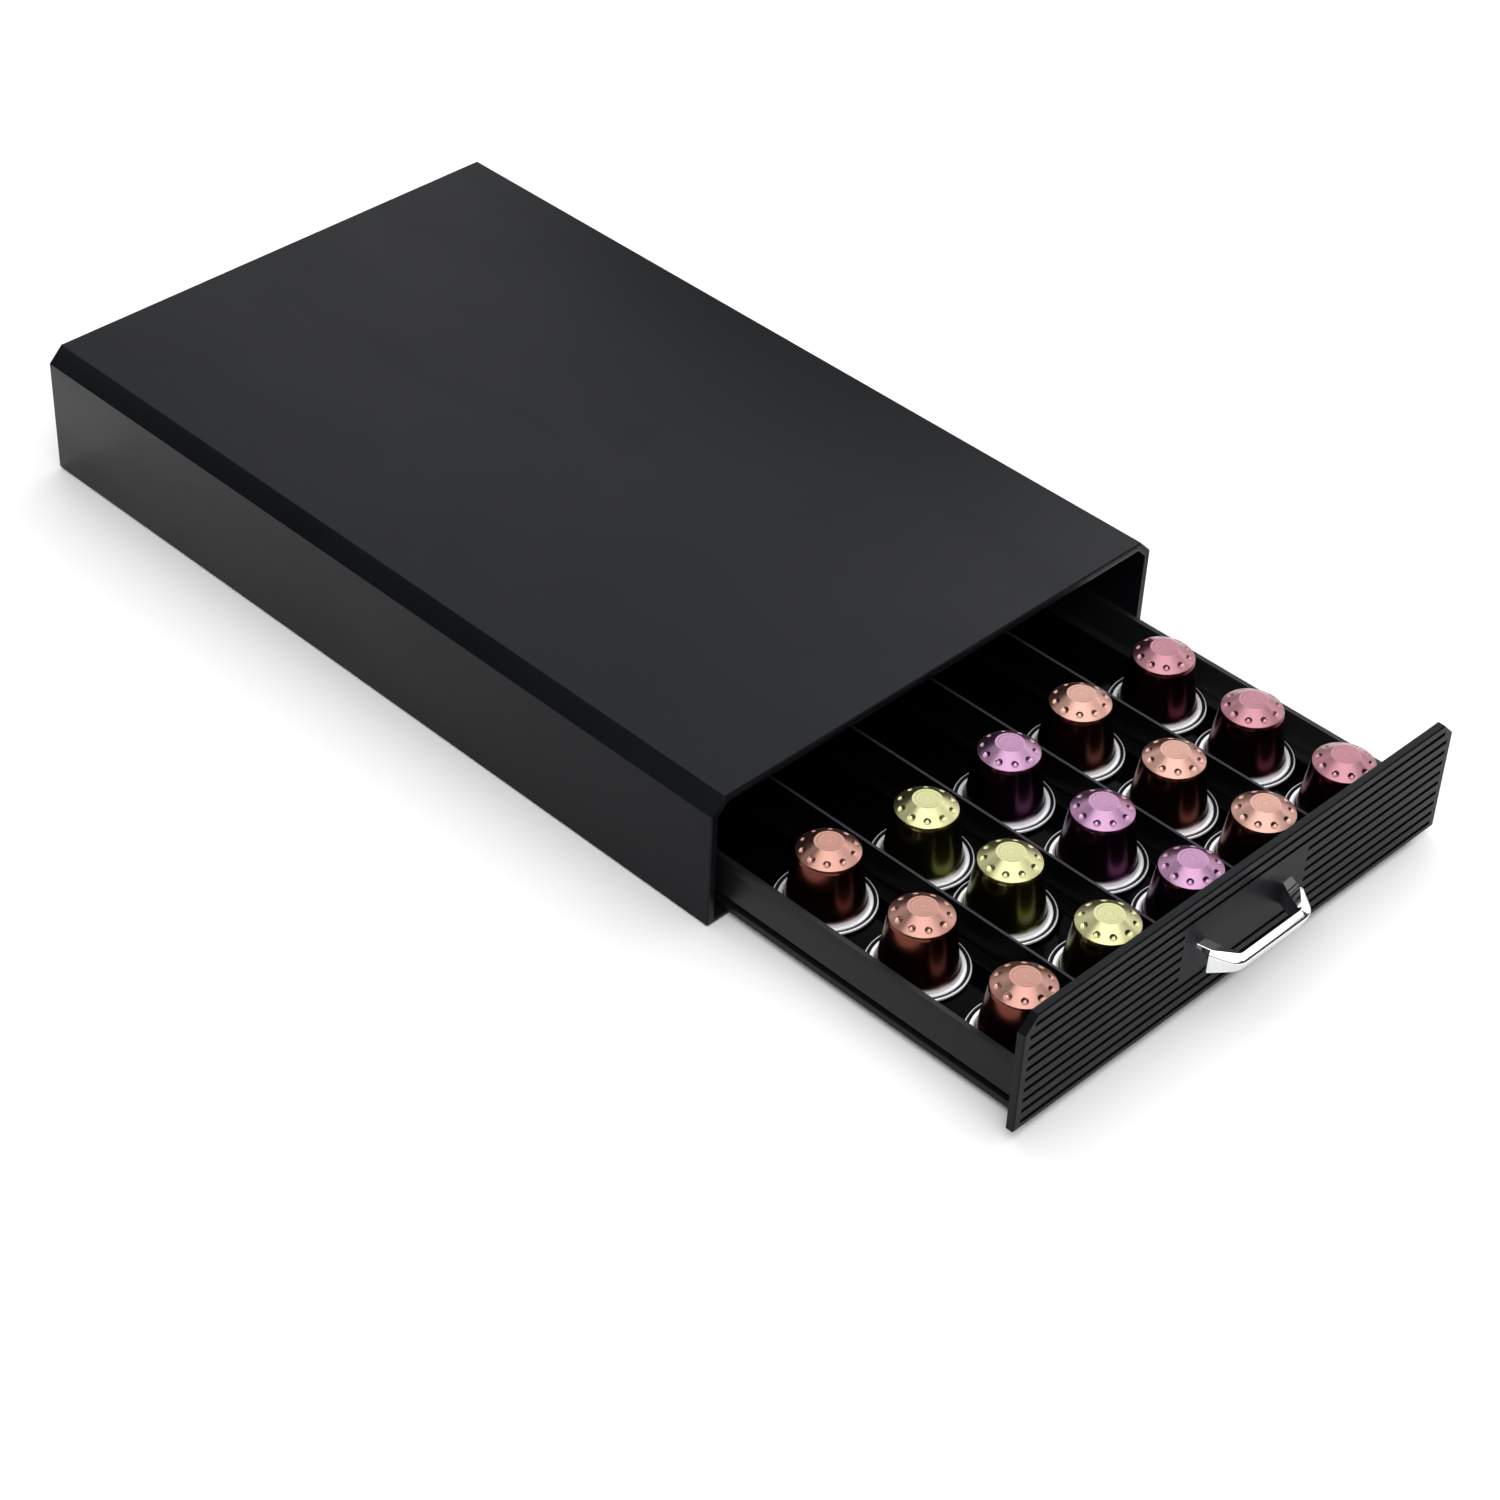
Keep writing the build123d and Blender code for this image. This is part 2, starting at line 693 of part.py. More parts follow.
with BuildPart() as pod_cup:
    with BuildSketch(Plane.XZ):
        with BuildLine():
            Polyline(
                (0, pod_height),
                (pod_disc_radius, pod_height),
                (pod_shoulder_radius, pod_shoulder_height),
                (pod_shoulder_radius + pod_wall / 2, pod_shoulder_height - pod_shoulder_drop),
                (pod_body_radius, pod_flare_height),
                (groove_inner, pod_rim_top + pod_bead_round / 2),
                ((groove_inner + bead_inner) / 2, pod_rim_top - pod_groove_depth),
                (bead_inner, pod_rim_top),
                (pod_rim_radius - pod_bead_round, pod_rim_top),
                (pod_rim_radius, pod_rim_top - pod_bead_round),
                (pod_rim_radius, pod_foil),
                (groove_inner - pod_wall, pod_foil),
                (pod_body_radius - pod_wall, pod_flare_height),
                (pod_shoulder_radius - pod_wall, pod_shoulder_height - pod_crown_wall),
                (pod_disc_radius, pod_height - pod_crown_wall),
                (0, pod_height - pod_crown_wall),
                close=True,
            )
        make_face()
    revolve(axis=Axis.Z)
    with Locations(
        (0, 0, dimple_height + ball_lift * math.cos(cone_slope)),
    ):
        with PolarLocations(
            dimple_ring_radius + ball_lift * math.sin(cone_slope), dimple_count
        ):
            Sphere(dimple_ball, mode=Mode.SUBTRACT)

with BuildPart() as pod_lid:
    with BuildSketch(Plane.XY):
        Circle(pod_rim_radius - pod_foil_setback)
    extrude(amount=pod_foil)

# The first pod of a channel stands behind the front wall or, where that comes
# first, with its body behind the flange.  Each pod's row holds the free gap in
# front of its rim, its share of the side play, and its turn in degrees.
taper = (pod_body_radius - pod_shoulder_radius) / (pod_shoulder_height - pod_flare_height)
body_at_flange = pod_body_radius - taper * (
    tray_top - front_flange_thickness - pod_seat - pod_flare_height
)
row_start = max(
    tray_front_thickness + pod_rim_radius, front_flange_depth + body_at_flange + pod_gap
)
pod_rows = {
    "copper": [(0.6, -1.0, 6), (8.9, -0.8, 20), (7.2, -0.3, 4)],
    "olive": [(1.9, 0.3, 14), (6.1, -0.3, 31), (1.4, -0.7, 8)],
    "lilac": [(0.9, 0.7, 0), (3.2, 1.0, 27), (6.6, 1.0, 18)],
    "peach": [(2.5, 0.6, 24), (3.0, 0.1, 11), (6.4, -0.2, 2)],
    "rose": [(0, 1.0, 16), (4.7, 1.0, 29), (4.6, 1.0, 9)],
}
side_play = channel_clearance / 2 - pod_gap
for (colour, row), middle_x in zip(pod_rows.items(), pods_mid_x):
    depth = panel_back + row_start - 2 * pod_rim_radius
    for number, (free_gap, play, turn) in enumerate(row, start=1):
        depth += 2 * pod_rim_radius + free_gap
        stand = Location((middle_x + play * side_play, depth, pod_seat), (0, 0, turn))
        with BuildPart() as pod:
            with Locations(stand):
                add(pod_cup.part)
        write(pod, f"pod_{colour}_{number}")
        with BuildPart() as foil:
            with Locations(stand):
                add(pod_lid.part)
        write(foil, f"foil_{colour}_{number}")
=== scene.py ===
"""Looks of a coffee pod drawer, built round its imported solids.

A low housing holds one drawer of five channels, and pods stand in them on their rims.  Here the
mouldings get their broken edges, the pods are turned and dimpled, the screws get their cross
recesses, and every surface gets its finish.  Metres, +Z up, and the drawer opens towards -Y.
"""

from __future__ import annotations

import logging
import math
from dataclasses import dataclass, field
from enum import Enum
from typing import Any

import bmesh
import bpy
from mathutils import Matrix, Vector

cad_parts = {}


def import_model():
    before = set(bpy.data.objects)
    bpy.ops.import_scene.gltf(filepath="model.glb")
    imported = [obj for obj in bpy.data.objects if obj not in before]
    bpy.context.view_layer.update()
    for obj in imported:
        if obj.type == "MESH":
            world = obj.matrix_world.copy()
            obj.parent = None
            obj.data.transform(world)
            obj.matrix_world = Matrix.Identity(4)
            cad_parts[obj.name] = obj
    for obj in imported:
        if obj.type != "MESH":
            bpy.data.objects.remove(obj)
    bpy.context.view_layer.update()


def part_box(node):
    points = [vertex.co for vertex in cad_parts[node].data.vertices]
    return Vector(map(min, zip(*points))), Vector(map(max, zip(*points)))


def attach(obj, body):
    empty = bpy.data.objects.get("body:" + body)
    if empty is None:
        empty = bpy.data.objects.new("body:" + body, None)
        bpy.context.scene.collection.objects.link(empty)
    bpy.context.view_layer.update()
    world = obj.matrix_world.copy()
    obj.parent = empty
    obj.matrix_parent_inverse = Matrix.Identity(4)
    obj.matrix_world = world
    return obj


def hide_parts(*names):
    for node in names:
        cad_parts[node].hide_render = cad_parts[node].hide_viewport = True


LOG = logging.getLogger("pod_drawer")
RADIUS_ATTRIBUTE = "turned_radius"
MM = 0.001

# Points nearer to each other than this, in metres, are one point.
MERGE = 0.002 * MM

# Places and angles that agree to so many decimals are the same.
PLACE_DIGITS = 5
ANGLE_DIGITS = 9

# A rounding takes at most this share of the shorter side beside its corner.
CORNER_SHARE = 0.49
BEND_SHARE = 0.45

# A side shorter than this, in millimetres, or a corner straighter than this isn't rounded.
SHORT_SIDE = 1e-6
STRAIGHT = math.pi - 0.01

Point2 = tuple[float, float]
Colour = tuple[float, float, float]


# ------------------------------------------------------------------------------ small helpers
def scaled(values: tuple[float, ...], factor: float = MM) -> tuple[float, ...]:
    """Return each value times a factor, millimetres to metres unless told otherwise."""
    return tuple(value * factor for value in values)


def new_object(name: str, mesh: bpy.types.Mesh) -> bpy.types.Object:
    """Link a new object at the origin that shows a mesh."""
    made = bpy.data.objects.new(name, mesh)
    bpy.context.scene.collection.objects.link(made)
    return made


def discard(item: bpy.types.Object) -> None:
    """Remove a helper object and its mesh."""
    mesh = item.data
    bpy.data.objects.remove(item)
    bpy.data.meshes.remove(mesh)


def settle(item: bpy.types.Object, crease_degrees: float | None = None) -> bpy.types.Object:
    """Bake an object's modifiers into its mesh.

    Args:
        item: The object whose evaluated shape is kept.
        crease_degrees: Edges that turn more than this are made sharp and the rest smooth.
            With none given, the normals that the modifiers made are kept.

    Returns:
        The same object, with a plain mesh and no modifiers.
    """
    graph = bpy.context.evaluated_depsgraph_get()
    graph.update()
    shape = bpy.data.meshes.new_from_object(
        item.evaluated_get(graph), preserve_all_data_layers=True, depsgraph=graph
    )
    item.modifiers.clear()
    old = item.data
    item.data = shape
    bpy.data.meshes.remove(old)
    shape.name = item.name
    if crease_degrees is not None:
        shape.shade_smooth()
        shape.set_sharp_from_angle(angle=math.radians(crease_degrees))
    return item


def rounded(corners: list[tuple[float, float, float]], steps: int = 5) -> list[Point2]:
    """Round the corners of an open outline with arcs.

    Args:
        corners: Points in order, each as its two coordinates and its corner's radius.
        steps: How many straight pieces each rounded corner has.

    Returns:
        The outline's points, with an arc in place of each corner whose radius isn't zero.
    """
    path: list[Point2] = []
    for index, (x, z, radius) in enumerate(corners):
        here = Vector((x, z))
        if radius == 0 or index in (0, len(corners) - 1):
            path.append((x, z))
            continue
        back = Vector(corners[index - 1][:2]) - here
        ahead = Vector(corners[index + 1][:2]) - here
        half = back.angle(ahead) / 2
        run = min(
            radius / math.tan(half), CORNER_SHARE * back.length, CORNER_SHARE * ahead.length
        )
        start = here + back.normalized() * run
        end = here + ahead.normalized() * run
        bisector = (back.normalized() + ahead.normalized()).normalized()
        centre = here + bisector * (run / math.cos(half))
        for step in range(steps + 1):
            chord = start.lerp(end, step / steps)
            spoke = (chord - centre).normalized()
            point = centre + spoke * (start - centre).length
            path.append((point.x, point.y))
    return path


def bent(
    corners: list[Vector], radii: tuple[float, ...], steps: int, ends: bool = True
) -> list[Vector]:
    """Round the inner corners of a path in space with parabolas.

    Args:
        corners: The path's corners.
        radii: Each inner corner's radius, less where the corner has no room for it.
        steps: How many straight pieces each rounded corner has.
        ends: Whether the path's first and last corners are kept.

    Returns:
        The rounded path's points.
    """
    path = [corners[0]] if ends else []
    for before, here, after, radius in zip(corners, corners[1:], corners[2:], radii):
        back, ahead = before - here, after - here
        if min(back.length, ahead.length) < SHORT_SIDE or back.angle(ahead) > STRAIGHT:
            path += [here] * (steps + 1)
            continue
        half = back.angle(ahead) / 2
        run = min(radius / math.tan(half), BEND_SHARE * back.length, BEND_SHARE * ahead.length)
        start, end = here + back.normalized() * run, here + ahead.normalized() * run
        for step in range(steps + 1):
            share = step / steps
            path.append(
                (1 - share) ** 2 * start + 2 * share * (1 - share) * here + share**2 * end
            )
    return path + ([corners[-1]] if ends else [])


def islands(node: str) -> list[tuple[Vector, Vector]]:
    """Find the separate solids of a CAD node.

    Args:
        node: The node's name.

    Returns:
        The lowest and highest corner of each solid, in metres.
    """
    shape = bmesh.new()
    shape.from_mesh(bpy.data.objects[node].data)
    bmesh.ops.remove_doubles(shape, verts=shape.verts, dist=MERGE)
    waiting = set(shape.verts)
    found = []
    while waiting:
        front = [waiting.pop()]
        group = list(front)
        while front:
            vert = front.pop()
            joined = {edge.other_vert(vert) for edge in vert.link_edges} & waiting
            waiting -= joined
            front += joined
            group += joined
        low = Vector(min(vert.co[axis] for vert in group) for axis in range(3))
        high = Vector(max(vert.co[axis] for vert in group) for axis in range(3))
        found.append((low, high))
    shape.free()
    return sorted(found, key=lambda pair: tuple(round(value, PLACE_DIGITS) for value in pair[0]))


def seat(piece: bpy.types.Object, node: str, body: str) -> bpy.types.Object:
    """Put a finished piece in a CAD node's place.

    Args:
        piece: The piece.
        node: The CAD node that it stands for.
        body: The body that it rides on.

    Returns:
        The same piece.
    """
    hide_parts(node)
    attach(piece, body)
    LOG.info("%s: %d faces, in place of %s", piece.name, len(piece.data.polygons), node)
    return piece


# -------------------------------------------------------------------------------- node builders
class TreeBuilder:
    """Adds nodes to a node tree and links them as it goes."""

    def __init__(self, tree: bpy.types.NodeTree) -> None:
        """Keep the tree that the nodes go into."""
        self.tree = tree

    def feed(self, entry: bpy.types.NodeSocket, value: Any) -> None:
        """Link an input to a socket, or set its own value.

        Args:
            entry: The input.
            value: The socket or the value.
        """
        if isinstance(value, bpy.types.NodeSocket):
            self.tree.links.new(value, entry)
        else:
            entry.default_value = value

    def add(self, kind: str, inputs: dict[Any, Any] | None = None, **settings: Any) -> Any:
        """Add one node.

        Args:
            kind: The node type's identifier.
            inputs: Values or sockets for the node's inputs, by name or by place.
            **settings: Properties of the node, set before its inputs.

        Returns:
            The new node.
        """
        node = self.tree.nodes.new(kind)
        for name, value in settings.items():
            setattr(node, name, value)
        for key, value in (inputs or {}).items():
            self.feed(node.inputs[key], value)
        return node

    def math(self, operation: str, *values: Any) -> bpy.types.NodeSocket:
        """Add a Math node and return its result."""
        return self.add("ShaderNodeMath", dict(enumerate(values)), operation=operation).outputs[0]

    def vector(self, operation: str, *values: Any) -> Any:
        """Add a Vector Math node and return the node."""
        return self.add("ShaderNodeVectorMath", dict(enumerate(values)), operation=operation)

    def combine(self, x: Any, y: Any, z: Any) -> bpy.types.NodeSocket:
        """Join three numbers into a vector."""
        return self.add("ShaderNodeCombineXYZ", {0: x, 1: y, 2: z}).outputs[0]

    def around(self, radius: Any, angle: Any, height: Any) -> bpy.types.NodeSocket:
        """Return the point at a radius, an angle and a height round Z.

        Args:
            radius: How far from Z it is.
            angle: How far round from +X it is, in radians.
            height: How high it is.

        Returns:
            The point as a vector.
        """
        return self.combine(
            self.math("MULTIPLY", radius, self.math("COSINE", angle)),
            self.math("MULTIPLY", radius, self.math("SINE", angle)),
            height,
        )

    def mix_colour(self, factor: Any, first: Any, second: Any) -> bpy.types.NodeSocket:
        """Mix two colours.

        Args:
            factor: How much of the second there is, from 0 to 1.
            first: The first colour, as a socket or three numbers.
            second: The second colour.

        Returns:
            The mixed colour.
        """
        sources = [
            value if isinstance(value, bpy.types.NodeSocket) else (*value, 1)
            for value in (first, second)
        ]
        inputs = {0: factor, 6: sources[0], 7: sources[1]}
        return self.add("ShaderNodeMix", inputs, data_type="RGBA").outputs[2]

    def ramp(self, value: Any, low: float, high: float, first: Any = 0.0, last: Any = 1.0) -> Any:
        """Map a value's range onto another and clamp it.

        Args:
            value: The value.
            low: Where the first result is reached.
            high: Where the last result is reached, above or below low.
            first: The first result.
            last: The last result.

        Returns:
            The mapped value.
        """
        inputs = {0: value, 1: low, 2: high, 3: first, 4: last}
        return self.add("ShaderNodeMapRange", inputs, clamp=True).outputs[0]

    def texture(
        self, kind: str, place: Any, size: Any, inputs: dict[str, float] | None = None, **settings: Any
    ) -> bpy.types.NodeSocket:
        """Add a procedural texture.

        Args:
            kind: Noise or Voronoi.
            place: The coordinates that it reads, in metres.
            size: The size of its marks, in millimetres.
            inputs: Its other inputs, by name.
            **settings: Properties of the node.

        Returns:
            The texture's value.
        """
        scale = self.math("DIVIDE", 1.0, self.math("MULTIPLY", size, MM))
        given = {"Vector": place, "Scale": scale, **(inputs or {})}
        return self.add(f"ShaderNodeTex{kind}", given, **settings).outputs[0]


class GeometryTree:
    """A Geometry Nodes tree with named inputs, run on an object and then baked."""

    def __init__(self, name: str, sockets: dict[str, str]) -> None:
        """Make the tree.

        Args:
            name: The tree's name.
            sockets: The named inputs and their socket types, in order, after Geometry.
        """
        self.tree = bpy.data.node_groups.new(name, "GeometryNodeTree")
        self.build = TreeBuilder(self.tree)
        face = self.tree.interface
        face.new_socket("Geometry", in_out="INPUT", socket_type="NodeSocketGeometry")
        self.keys = {
            label: face.new_socket(label, in_out="INPUT", socket_type=kind).identifier
            for label, kind in sockets.items()
        }
        face.new_socket("Geometry", in_out="OUTPUT", socket_type="NodeSocketGeometry")
        self.given = self.tree.nodes.new("NodeGroupInput").outputs

    def close(self, geometry: bpy.types.NodeSocket) -> None:
        """End the tree with Realize Instances and Set Material.

        Args:
            geometry: What the tree has made.
        """
        plain = self.build.add("GeometryNodeRealizeInstances", {0: geometry}).outputs[0]
        dressed = self.build.add(
            "GeometryNodeSetMaterial", {"Geometry": plain, "Material": self.given["Finish"]}
        )
        self.build.add("NodeGroupOutput", {0: dressed.outputs[0]})

    def run(self, item: bpy.types.Object, crease_degrees: float, **values: Any) -> bpy.types.Object:
        """Run the tree on an object and keep the result as a plain mesh.

        Args:
            item: The object whose mesh is the tree's Geometry input.
            crease_degrees: Edges that turn more than this stay sharp.
            **values: The tree's inputs, by name with underscores for spaces.

        Returns:
            The same object with its new mesh.
        """
        modifier = item.modifiers.new(self.tree.name, "NODES")
        modifier.node_group = self.tree
        for label, value in values.items():
            modifier[self.keys[label.replace("_", " ")]] = value
        return settle(item, crease_degrees)


# ------------------------------------------------------------------------ shared shader effects
class Effect:
    """A shader node group that several finishes use, made once."""

    made: dict[str, bpy.types.NodeTree] = {}

    @staticmethod
    def start(name: str, takes: dict[str, float], gives: tuple[str, ...]) -> TreeBuilder:
        """Make an empty group.

        Args:
            name: The group's name.
            takes: Its number inputs and their usual values.
            gives: Its number outputs.

        Returns:
            A builder for the new group.
        """
        group = bpy.data.node_groups.new(name, "ShaderNodeTree")
        for label, value in takes.items():
            group.interface.new_socket(
                label, in_out="INPUT", socket_type="NodeSocketFloat"
            ).default_value = value
        for label in gives:
            group.interface.new_socket(label, in_out="OUTPUT", socket_type="NodeSocketFloat")
        Effect.made[name] = group
        return TreeBuilder(group)

    @staticmethod
    def place(build: TreeBuilder, name: str, **values: Any) -> Any:
        """Put a group into a material.

        Args:
            build: The material's builder.
            name: The group's name.
            **values: Its inputs, by name in small letters.

        Returns:
            The group's outputs.
        """
        node = build.tree.nodes.new("ShaderNodeGroup")
        node.node_tree = Effect.made[name]
        for label, value in values.items():
            build.feed(node.inputs[label.capitalize()], value)
        return node.outputs


def object_place(build: TreeBuilder) -> bpy.types.NodeSocket:
    """Return the Object coordinates, in metres."""
    return build.tree.nodes.new("ShaderNodeTexCoord").outputs["Object"]


def make_moulded_grain() -> None:
    """Make the group for a spark-eroded mould's fine grain."""
    build = Effect.start("moulded_grain", {"Grain": 0.45, "Ripple": 60.0}, ("Height", "Tone"))
    given = build.tree.nodes.new("NodeGroupInput").outputs
    place = object_place(build)
    fine = build.texture("Noise", place, given["Grain"], {"Detail": 3.0, "Roughness": 0.62})
    pits = build.texture("Voronoi", place, given["Grain"], feature="SMOOTH_F1")
    wide = build.texture("Noise", place, given["Ripple"], {"Detail": 2.0})
    height = build.math("MULTIPLY_ADD", pits, 0.5, fine)
    build.add("NodeGroupOutput", {0: height, 1: build.ramp(wide, 0.3, 0.7)})


def make_handling_marks() -> None:
    """Make the group for faint smears and fine dust that change how a surface shines."""
    build = Effect.start("handling_marks", {"Smear": 35.0, "Dust": 1.6}, ("Smears", "Specks"))
    given = build.tree.nodes.new("NodeGroupInput").outputs
    place = object_place(build)
    stretched = build.vector("MULTIPLY", place, (1.0, 0.45, 1.0)).outputs[0]
    smear = build.texture(
        "Noise",
        stretched,
        given["Smear"],
        {"Detail": 5.0, "Roughness": 0.55, "Distortion": 0.6},
    )
    speck = build.texture("Voronoi", place, given["Dust"])
    smears, specks = build.ramp(smear, 0.42, 0.68), build.ramp(speck, 0.05, 0.02)
    build.add("NodeGroupOutput", {0: smears, 1: specks})


def make_drawn_metal() -> None:
    """Make the group for the fine marks that drawing and turning leave on thin metal."""
    build = Effect.start(
        "drawn_metal", {"Line": 1.0, "Ring": 0.5, "Satin": 0.14}, ("Lines", "Rings", "Grain")
    )
    given = build.tree.nodes.new("NodeGroupInput").outputs
    place = object_place(build)
    upright = build.vector("MULTIPLY", place, (1.0, 1.0, 0.02)).outputs[0]
    lines = build.texture("Noise", upright, given["Line"], {"Detail": 1.0, "Roughness": 0.5})
    radius = build.add("ShaderNodeAttribute", attribute_name=RADIUS_ATTRIBUTE).outputs["Fac"]
    turn = build.math("DIVIDE", radius, build.math("MULTIPLY", given["Ring"], MM))
    rings = build.add(
        "ShaderNodeTexNoise", {"W": turn, "Scale": 1.0, "Detail": 2.0}, noise_dimensions="1D"
    ).outputs[0]
    satin = build.texture("Noise", place, given["Satin"], {"Detail": 1.0})
    build.add("NodeGroupOutput", {0: lines, 1: rings, 2: satin})


# ------------------------------------------------------------------------------------ finishes
class PodColour(Enum):
    """The pods' five tints, named as their channels are, from left to right."""

    COPPER = (0.42, 0.225, 0.185)
    OLIVE = (0.50, 0.49, 0.26)
    LILAC = (0.38, 0.215, 0.34)
    PEACH = (0.49, 0.285, 0.235)
    ROSE = (0.37, 0.178, 0.208)


class Finish:
    """A finish that makes its material once and hands it out."""

    cache: dict[str, bpy.types.Material] = {}
    name: str

    def material(self) -> bpy.types.Material:
        """Make the finish's material the first time it is asked for.

        Returns:
            The material.
        """
        if self.name not in Finish.cache:
            made = bpy.data.materials.new(self.name)
            made.use_nodes = True
            made.node_tree.nodes.clear()
            build = TreeBuilder(made.node_tree)
            shader = build.add("ShaderNodeBsdfPrincipled")
            build.add("ShaderNodeOutputMaterial", {"Surface": shader.outputs[0]})
            self.dress(build, shader)
            Finish.cache[self.name] = made
        return Finish.cache[self.name]

    def dress(self, build: TreeBuilder, shader: Any) -> None:
        """Set the shader's inputs; each finish does this in its own way."""
        raise NotImplementedError

    def wire(
        self, build: TreeBuilder, shader: Any, colour: Any, rough: Any, height: Any, relief: float
    ) -> None:
        """Wire colour, roughness and relief into the shader.

        Args:
            build: The material's builder.
            shader: Its Principled BSDF.
            colour: The base colour.
            rough: The roughness.
            height: The relief's height, from about 0 to 1.
            relief: How deep a height of 1 is, in millimetres.
        """
        bump = build.add(
            "ShaderNodeBump", {"Strength": 1.0, "Distance": relief * MM, "Height": height}
        )
        build.feed(shader.inputs["Base Color"], colour)
        build.feed(shader.inputs["Roughness"], rough)
        build.feed(shader.inputs["Normal"], bump.outputs[0])

    def apply(self, item: bpy.types.Object) -> bpy.types.Object:
        """Give an object this finish alone."""
        item.data.materials.clear()
        item.data.materials.append(self.material())
        return item

    def show(self, node: str) -> None:
        """Give this finish to a CAD node whose own shape is shown."""
        self.apply(bpy.data.objects[node])
        LOG.info("%s: its own shape, in %s", node, self.name)


@dataclass(frozen=True)
class MouldedPlastic(Finish):
    """Black moulded plastic, from a matt grain to a polish.

    Args:
        name: The material's name.
        tint: Its linear base colour.
        roughness: How matt it is between its marks.
        specular: Its specular level.
        mark: How much rougher its smears are.
        grain: The grain's size in millimetres.
        relief: The grain's depth in millimetres.
        ripple: The size of its paler patches in millimetres.
        paler: How many times paler those patches are.
        smear: The smears' size in millimetres.
        dust: The specks' spacing in millimetres.
        dusting: How strongly a speck shows.
        dust_paler: How many times paler than the tint a speck is.
        dust_haze: What a speck adds to that, as a linear grey.
        painted_sheen_from: The height of its top edge in millimetres, where a painted highlight
            lightens it, or None without one.
        painted_sheen_soft: How far below that height the painted highlight fades, in millimetres.
        painted_sheen_tint: The painted highlight's linear colour.
    """

    name: str
    tint: Colour
    roughness: float
    specular: float
    mark: float = 0.05
    grain: float = 0.5
    relief: float = 0.010
    ripple: float = 70.0
    paler: float = 1.16
    smear: float = 38.0
    dust: float = 1.9
    dusting: float = 0.5
    dust_paler: float = 1.9
    dust_haze: float = 0.004
    painted_sheen_from: float | None = None
    painted_sheen_soft: float = 0.05
    painted_sheen_tint: Colour = (0.035, 0.035, 0.041)

    def dress(self, build: TreeBuilder, shader: Any) -> None:
        """Wire the grain into colour and normal, and the marks into roughness.

        Args:
            build: The material's builder.
            shader: Its Principled BSDF.
        """
        grain = Effect.place(build, "moulded_grain", grain=self.grain, ripple=self.ripple)
        marks = Effect.place(build, "handling_marks", smear=self.smear, dust=self.dust)
        colour = build.mix_colour(grain["Tone"], self.tint, scaled(self.tint, self.paler))
        dusty = tuple(value * self.dust_paler + self.dust_haze for value in self.tint)
        specks = build.math("MULTIPLY", marks["Specks"], self.dusting)
        colour = build.mix_colour(specks, colour, dusty)
        # Painted highlight: the top edge is lightened towards a paler tint, standing in for light
        # catching it.
        if self.painted_sheen_from is not None:
            height = build.add("ShaderNodeSeparateXYZ", {0: object_place(build)}).outputs["Z"]
            low = self.painted_sheen_from - self.painted_sheen_soft
            edge = build.ramp(height, low * MM, self.painted_sheen_from * MM)
            colour = build.mix_colour(edge, colour, self.painted_sheen_tint)
        rough = build.math("MULTIPLY_ADD", marks["Smears"], self.mark, self.roughness)
        self.wire(build, shader, colour, rough, grain["Height"], self.relief)
        shader.inputs["Specular IOR Level"].default_value = self.specular


